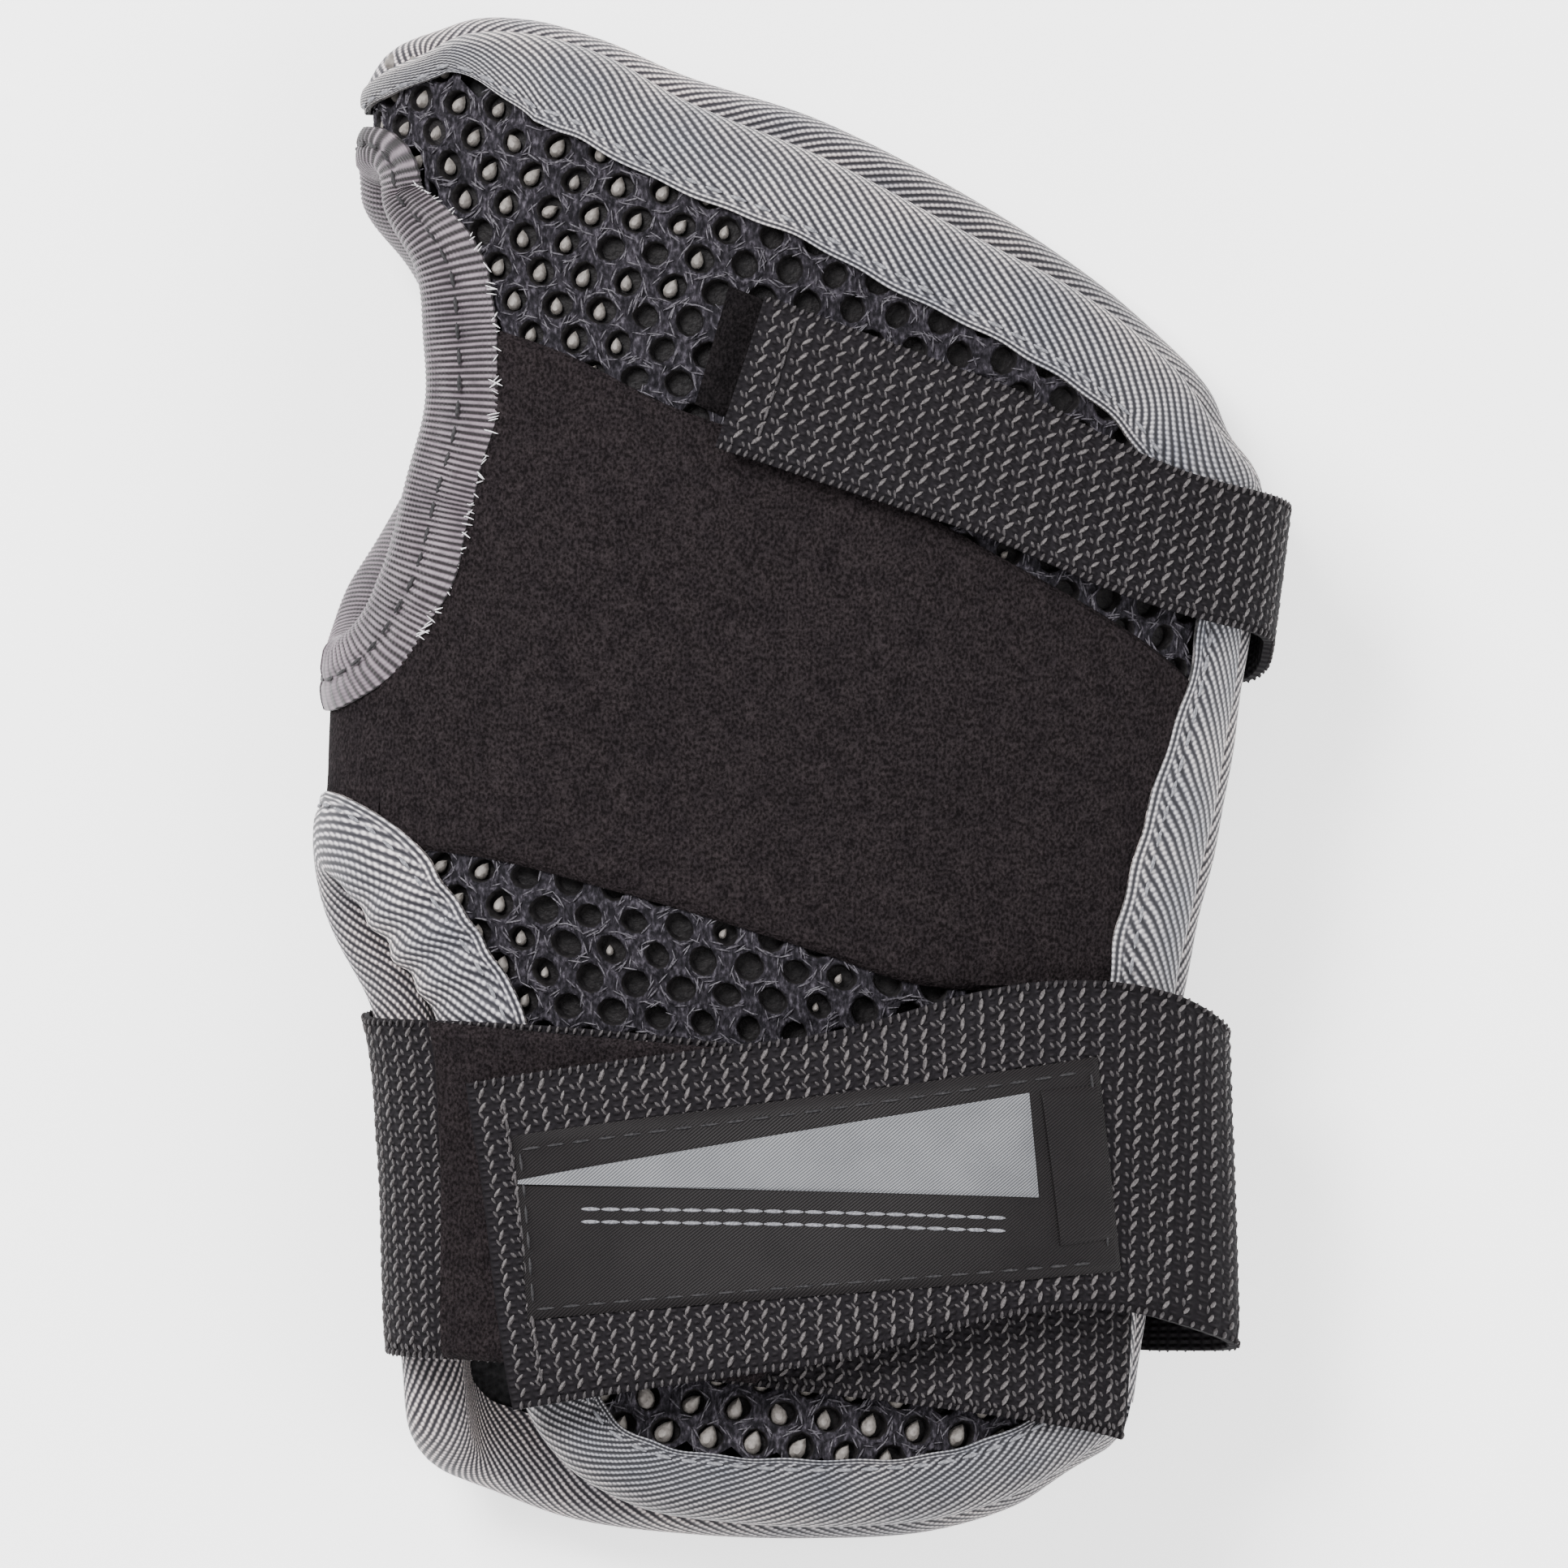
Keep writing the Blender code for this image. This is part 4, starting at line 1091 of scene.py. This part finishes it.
def yarn_groups(first, last, wide):
    """The places of the yarns and selvedges between two distances along, with shape, slant and look."""
    groups = []
    for kind, (offset, length, width, height, slant) in enumerate(YARNS):
        count = len(np.arange(first / YARN_PITCH, last / YARN_PITCH, 1.0))
        along = (np.ceil(first / YARN_PITCH) + np.arange(0, count) + offset) * YARN_PITCH
        along = along[(along > first + 0.6) & (along < last - 0.6)]
        across = np.arange(1.5 + 0.5 * min(kind, 1) * YARN_STEP, wide - 1.2, YARN_STEP)
        places = [grid.ravel() for grid in np.meshgrid(along, across)]
        groups.append((*places, bead(length, width, height), slant, int(kind > 0)))
    for side in (0.35, wide - 0.35):
        along = np.arange(first + 0.5, last - 0.4, SELVEDGE_STEP)
        groups.append((along, np.full(len(along), side), bead(1.0, 0.5, 0.28), 70, 1))
    return groups


def webbing(name, near, far, out_at, thick, start=0.0, end=1.0):
    """Woven strap between two edge curves: its ground cloth, and its slanted yarns with their selvedges.

    out_at(u, v) is the place of its outer face over the skin."""
    place = between(near, far)
    t, at, wide = strip_lengths(near, far)
    reached = np.linspace(start, end, int((end - start) * at[-1] / 0.9) + 2) * at[-1]
    u, v = np.meshgrid(np.interp(reached, at, t), np.linspace(0, 1, 17), indexing="ij")
    spots = place(u, v)
    crown = CROWN * edge_fall(v, 0.035) - CROWN
    outer = skin(*split(spots), out_at(u, v) + crown)
    inner = skin(*split(spots), out_at(u, v) - thick - crown * 0.8)
    uv = np.stack(np.broadcast_arrays(reached[:, None], v * wide), axis=-1)
    ground = slab(name, outer, inner, "webbing", uv)
    points, faces, kinds, count = [], [], [], 0
    for along, across, shape, slant, kind in yarn_groups(start * at[-1], end * at[-1], wide):
        share = np.interp(along + rng.normal(0, 0.06, len(along)), at, t)
        side = across / wide
        spots = place(share, side)
        front, rear = (place(np.clip(share + step, 0, 1), side) for step in (0.01, -0.01))
        x = unit(on_skin(*split(front)) - on_skin(*split(rear)))
        slants = np.radians(slant + rng.normal(0, 5, len(along)))[:, None]
        axes = turned(x, outwards(*split(spots)), slants)
        centre = skin(*split(spots), out_at(share, side) - 0.06)
        made, made_faces = scattered(shape, centre, axes, rng.uniform(0.85, 1.12, len(along)))
        points.append(made)
        faces += [tuple(k + count for k in face) for face in made_faces]
        kinds += [kind] * len(made_faces)
        count += len(made)
    yarns = make_piece(name + "_yarns", np.concatenate(points), faces, ["yarn", "low_yarn"], kinds)
    return ground, yarns


def bend_over(pieces, a, b, start, end):
    """Bakes each piece's transform into its mesh. The bodies a and b are not used, and nor are the points
    made from the places start and end.
    """
    first, last = ((skin(*place) - CENTRE) * MM for place in (start, end))
    for piece in pieces:
        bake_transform(piece)


def rising(u, end, low, high):
    """Goes smoothly from low to high while u goes from 0 to end."""
    flat = np.clip(u / end, 0, 1)
    return low + (high - low) * flat**2 * (3 - 2 * flat)


def make_strap(label, tab, wrap, stack, slack):
    """A strap from its sewn end on the palm, round the little-finger side, to its free tab on the back."""
    wrap_body, tab_body = label + "_wrap", label + "_tab"
    upper, lower = back_of(tab[0])[::-1], back_of(tab[1])[::-1]
    near, far = (
        curve_through([(edge[1][0] - 22, edge[1][1])] + edge[::-1] + end)
        for edge, end in zip(wrap, (upper, lower))
    )
    t, at, _ = strip_lengths(near, far)
    fold = upper[0][0]
    seam, corner = (float(np.interp(angle, near(t)[:, 0], t)) for angle in (STRAP_SEAM, fold))

    def out_at(u, v):
        loose = np.clip((u - seam) / (corner - seam), 0, 1)
        free = np.clip((u - 0.93) / 0.07, 0, 1)
        bulge = slack * v * np.sin(math.pi * loose) ** 2
        return rising(u, seam, ANCHOR_TOP, stack[1]) + bulge + 0.5 * free**2

    thick = stack[1] - stack[0]
    half = float(np.interp((seam + corner) / 2, t, at)) / at[-1]
    low = webbing(f"{label}_strap_wrap_webbing", near, far, out_at, thick, 0.0, half)
    high = webbing(f"{label}_strap_tab_webbing", near, far, out_at, thick, half, 1.0)
    across, stitch_at = between(near, far), 1 - 4.5 / at[-1]
    row = strand_line(
        f"{label}_strap_end_stitches",
        lambda s: across(np.full_like(s, stitch_at), 0.06 + 0.88 * s),
        stack[1] + 0.25,
        "low_yarn",
        1.9,
        0.3,
        0.45,
    )
    assign(row, tab_body, "webbing")
    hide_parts(f"{label}_strap_wrap", f"{label}_strap_anchor")
    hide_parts(f"{label}_strap_tab")
    seam_y, fold_y = (wrap[0][1][1] + wrap[1][1][1]) / 2, (upper[0][1] + lower[0][1]) / 2
    for pieces, bodies, angle, before, after, y in (
        (low, ("guard_body", wrap_body), STRAP_SEAM, 6, 7, seam_y),
        (high, (wrap_body, tab_body), fold, 8, 5, fold_y),
    ):
        bend_over(pieces, *bodies, (angle - before, y, stack[1]), (angle + after, y, stack[1]))


def hook_patch(node, upper, lower, stack, body):
    strip = back_strip(upper, lower)
    panel(node + "_tape", strip, stack, "hook_tape", 30, 20, "hook_tape", node, shoulder=0.05, body=body)


def make_hand_strap():
    tab = [(-2.7, 59), (25, 48.5), (50, 37)], [(-8.7, 40.5), (20, 31), (48.5, 20)]
    wrap = [(0, 34), (STRAP_SEAM, 29.5)], [(0, 17), (STRAP_SEAM, 12.5)]
    make_strap("hand", tab, wrap, HAND_WEBBING, 0.0)
    hook_patch("hand_strap_hook", [(-1, 56.5), (22, 48)], [(-6, 41.5), (17, 33.5)], HAND_HOOK, "hand_tab")


def make_wrist_strap():
    tab = [(-36.5, -37), (0, -31.5), (42.5, -25.5)], [(-31, -77.5), (0, -72.5), (39.5, -65.5)]
    wrap = [(0, -30), (STRAP_SEAM, -32)], [(0, -68), (STRAP_SEAM, -70)]
    make_strap("wrist", tab, wrap, WRIST_WEBBING, 6.0)
    upper, lower = [(-33, -39), (-4, -35)], [(-28.5, -74.5), (0, -70.5)]
    hook_patch("wrist_strap_hook", upper, lower, WRIST_HOOK, "wrist_tab")
    make_label()


def make_label():
    """The satin label on the wrist strap: light wedge, dark end tab, stitches and two plain pinstripes."""
    label = [(-31.5, -43.5), (0, -39), (34.5, -33.5)], [(-29.5, -66.5), (2, -63.5), (36.5, -60)]
    wedge = [(-30.6, -49.0), (27, -38)], [(-30.6, -49.5), (28, -51)]
    end_tab = [(28.2, -37.8), (34.3, -37)], [(30.2, -57), (35.6, -56)]
    for node, edges, stack, look in (
        ("label_patch", label, LABEL, "label_satin"),
        ("label_wedge", wedge, LABEL_PRINT, "label_print"),
        ("label_end_tab", end_tab, LABEL_PRINT, "label_satin"),
    ):
        strip = back_strip(*edges)
        panel(node + "_satin", strip, stack, look, 80, 28, look, node, shoulder=0.02, body="wrist_tab")
    rows = (
        [(-30.5, -45.2), (0, -40.8), (33.6, -35.2)],
        [(-28.7, -65.2), (2, -62.2), (35.2, -58.8)],
        [(-30.5, -45.2), (-28.7, -65.2)],
        [(33.6, -35.2), (35.2, -58.8)],
    )
    out = LABEL[1] + 0.02
    for number, points in enumerate(rows, 1):
        row = strand_line(f"label_stitches_{number}", back_curve(points), out, "dark_thread")
        assign(row, "wrist_tab", "label_satin")
    for number, drop in enumerate((0.0, 1.6), 1):
        line = back_curve([(-24, -52.6 - drop), (0, -52.9 - drop), (25, -53.6 - drop)])
        row = strand_line(f"label_pinstripe_{number}", line, out, "grey_thread", 2.4, 0.1, 0.5)
        assign(row, "wrist_tab", "label_print")


def make_wrist_band():
    upper, lower = [(236, -27), (212, -27.5), (180, -28.5)], [(236, -68), (212, -69), (180, -70.5)]
    near = curve_through(upper + back_of([(-38, -29.5), (0, -33), (30, -36.5), (40.5, -38)]))
    far = curve_through(lower + back_of([(-36, -71.5), (0, -75), (30, -79), (38.5, -81)]))
    t, _, _ = strip_lengths(near, far)
    edge = float(np.interp(-212, -near(t)[:, 0], t))

    def out_at(u, v):
        return rising(u, edge, ANCHOR_TOP, BAND_WEBBING[1]) + 0 * v

    cloth, yarns = webbing("wrist_band_cloth", near, far, out_at, BAND_WEBBING[1] - BAND_WEBBING[0])
    assign(cloth, "guard_body", "webbing", "wrist_band_webbing", "wrist_band_anchor")
    assign(yarns, "guard_body", "webbing")
    strip = back_strip([(-42.5, -29.2), (0, -33.6), (35, -38)], [(-40.5, -71), (-22, -72.6), (-4, -74.2)])
    node, look = "wrist_band_loop_tape", "loop_fabric"
    panel("wrist_band_fuzzy_tape", strip, BAND_LOOP, look, 80, 50, look, node, shoulder=0.02)


# ---------------------------------------------------------------- hard parts


def dress_hard_parts():
    """The solids whose shape is right keep it and take their full material."""
    looks = {"palm_splint": "splint_plastic", "dorsal_stay": "stay_aluminium"}
    for number in range(1, 5):
        looks[f"splint_rivet_{number}"] = looks[f"rivet_washer_{number}"] = "rivet_steel"
    for name, look in looks.items():
        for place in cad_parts[name].material_slots:
            place.material = LOOKS[look]


# ---------------------------------------------------------------- light, floor and camera


def add_object(name, data, location):
    thing = bpy.data.objects.new(name, data)
    thing.location = location
    bpy.context.scene.collection.objects.link(thing)
    return thing


def make_floor():
    mesh = bpy.data.meshes.new("floor")
    half = 1.6
    corners = [(-half, -half, 0), (half, -half, 0), (half, half, 0), (-half, half, 0)]
    mesh.from_pydata(corners, [], [(0, 1, 2, 3)])
    pale = bpy.data.materials.new("floor_pale")
    pale.use_nodes = True
    surface = pale.node_tree.nodes["Principled BSDF"]
    for socket, value in (
        ("Base Color", (0.97, 0.97, 0.97, 1)),
        ("Roughness", 0.9),
        ("Emission Color", (1, 1, 1, 1)),
        ("Emission Strength", FLOOR_GLOW),
    ):
        surface.inputs[socket].default_value = value
    mesh.materials.append(pale)
    add_object("floor", mesh, (0, 0, -0.0005))


def make_light():
    world = bpy.data.worlds.new("studio")
    world.use_nodes = True
    background = world.node_tree.nodes["Background"]
    background.inputs["Color"].default_value = (1, 1, 1, 1)
    background.inputs["Strength"].default_value = 0.86
    bpy.context.scene.world = world
    for name, place, wide, power in (
        ("key_light", (-0.45, 0.5, 0.8), 0.4, 24),
        ("fill_light", (0.6, -0.2, 0.7), 0.7, 8),
        ("rim_light", (0.1, -0.8, 0.5), 0.4, 2),
    ):
        data = bpy.data.lights.new(name, "AREA")
        data.energy = power
        data.size = wide
        aim = -np.array(place) / np.linalg.norm(place)
        tilt, turn = math.atan2(math.hypot(aim[0], aim[1]), -aim[2]), math.atan2(aim[1], aim[0])
        add_object(name, data, place).rotation_euler = (tilt, 0, turn - math.pi / 2)


def make_camera():
    """Straight above the back of the hand, fingers up, with a long lens that takes in the field."""
    data = bpy.data.cameras.new("camera")
    data.sensor_width = 36
    data.lens = 500
    focus_height = 0.03
    distance = FIELD * data.lens / data.sensor_width
    bpy.context.scene.camera = add_object("camera", data, (-0.0025, -0.0001, focus_height + distance))


make_camera()
make_floor()
make_light()
make_air_mesh()
make_panels()
bind_cuff()
bind_fingers()
bind_little_side()
bind_thumb()
make_wrist_band()
make_hand_strap()
make_wrist_strap()
dress_hard_parts()
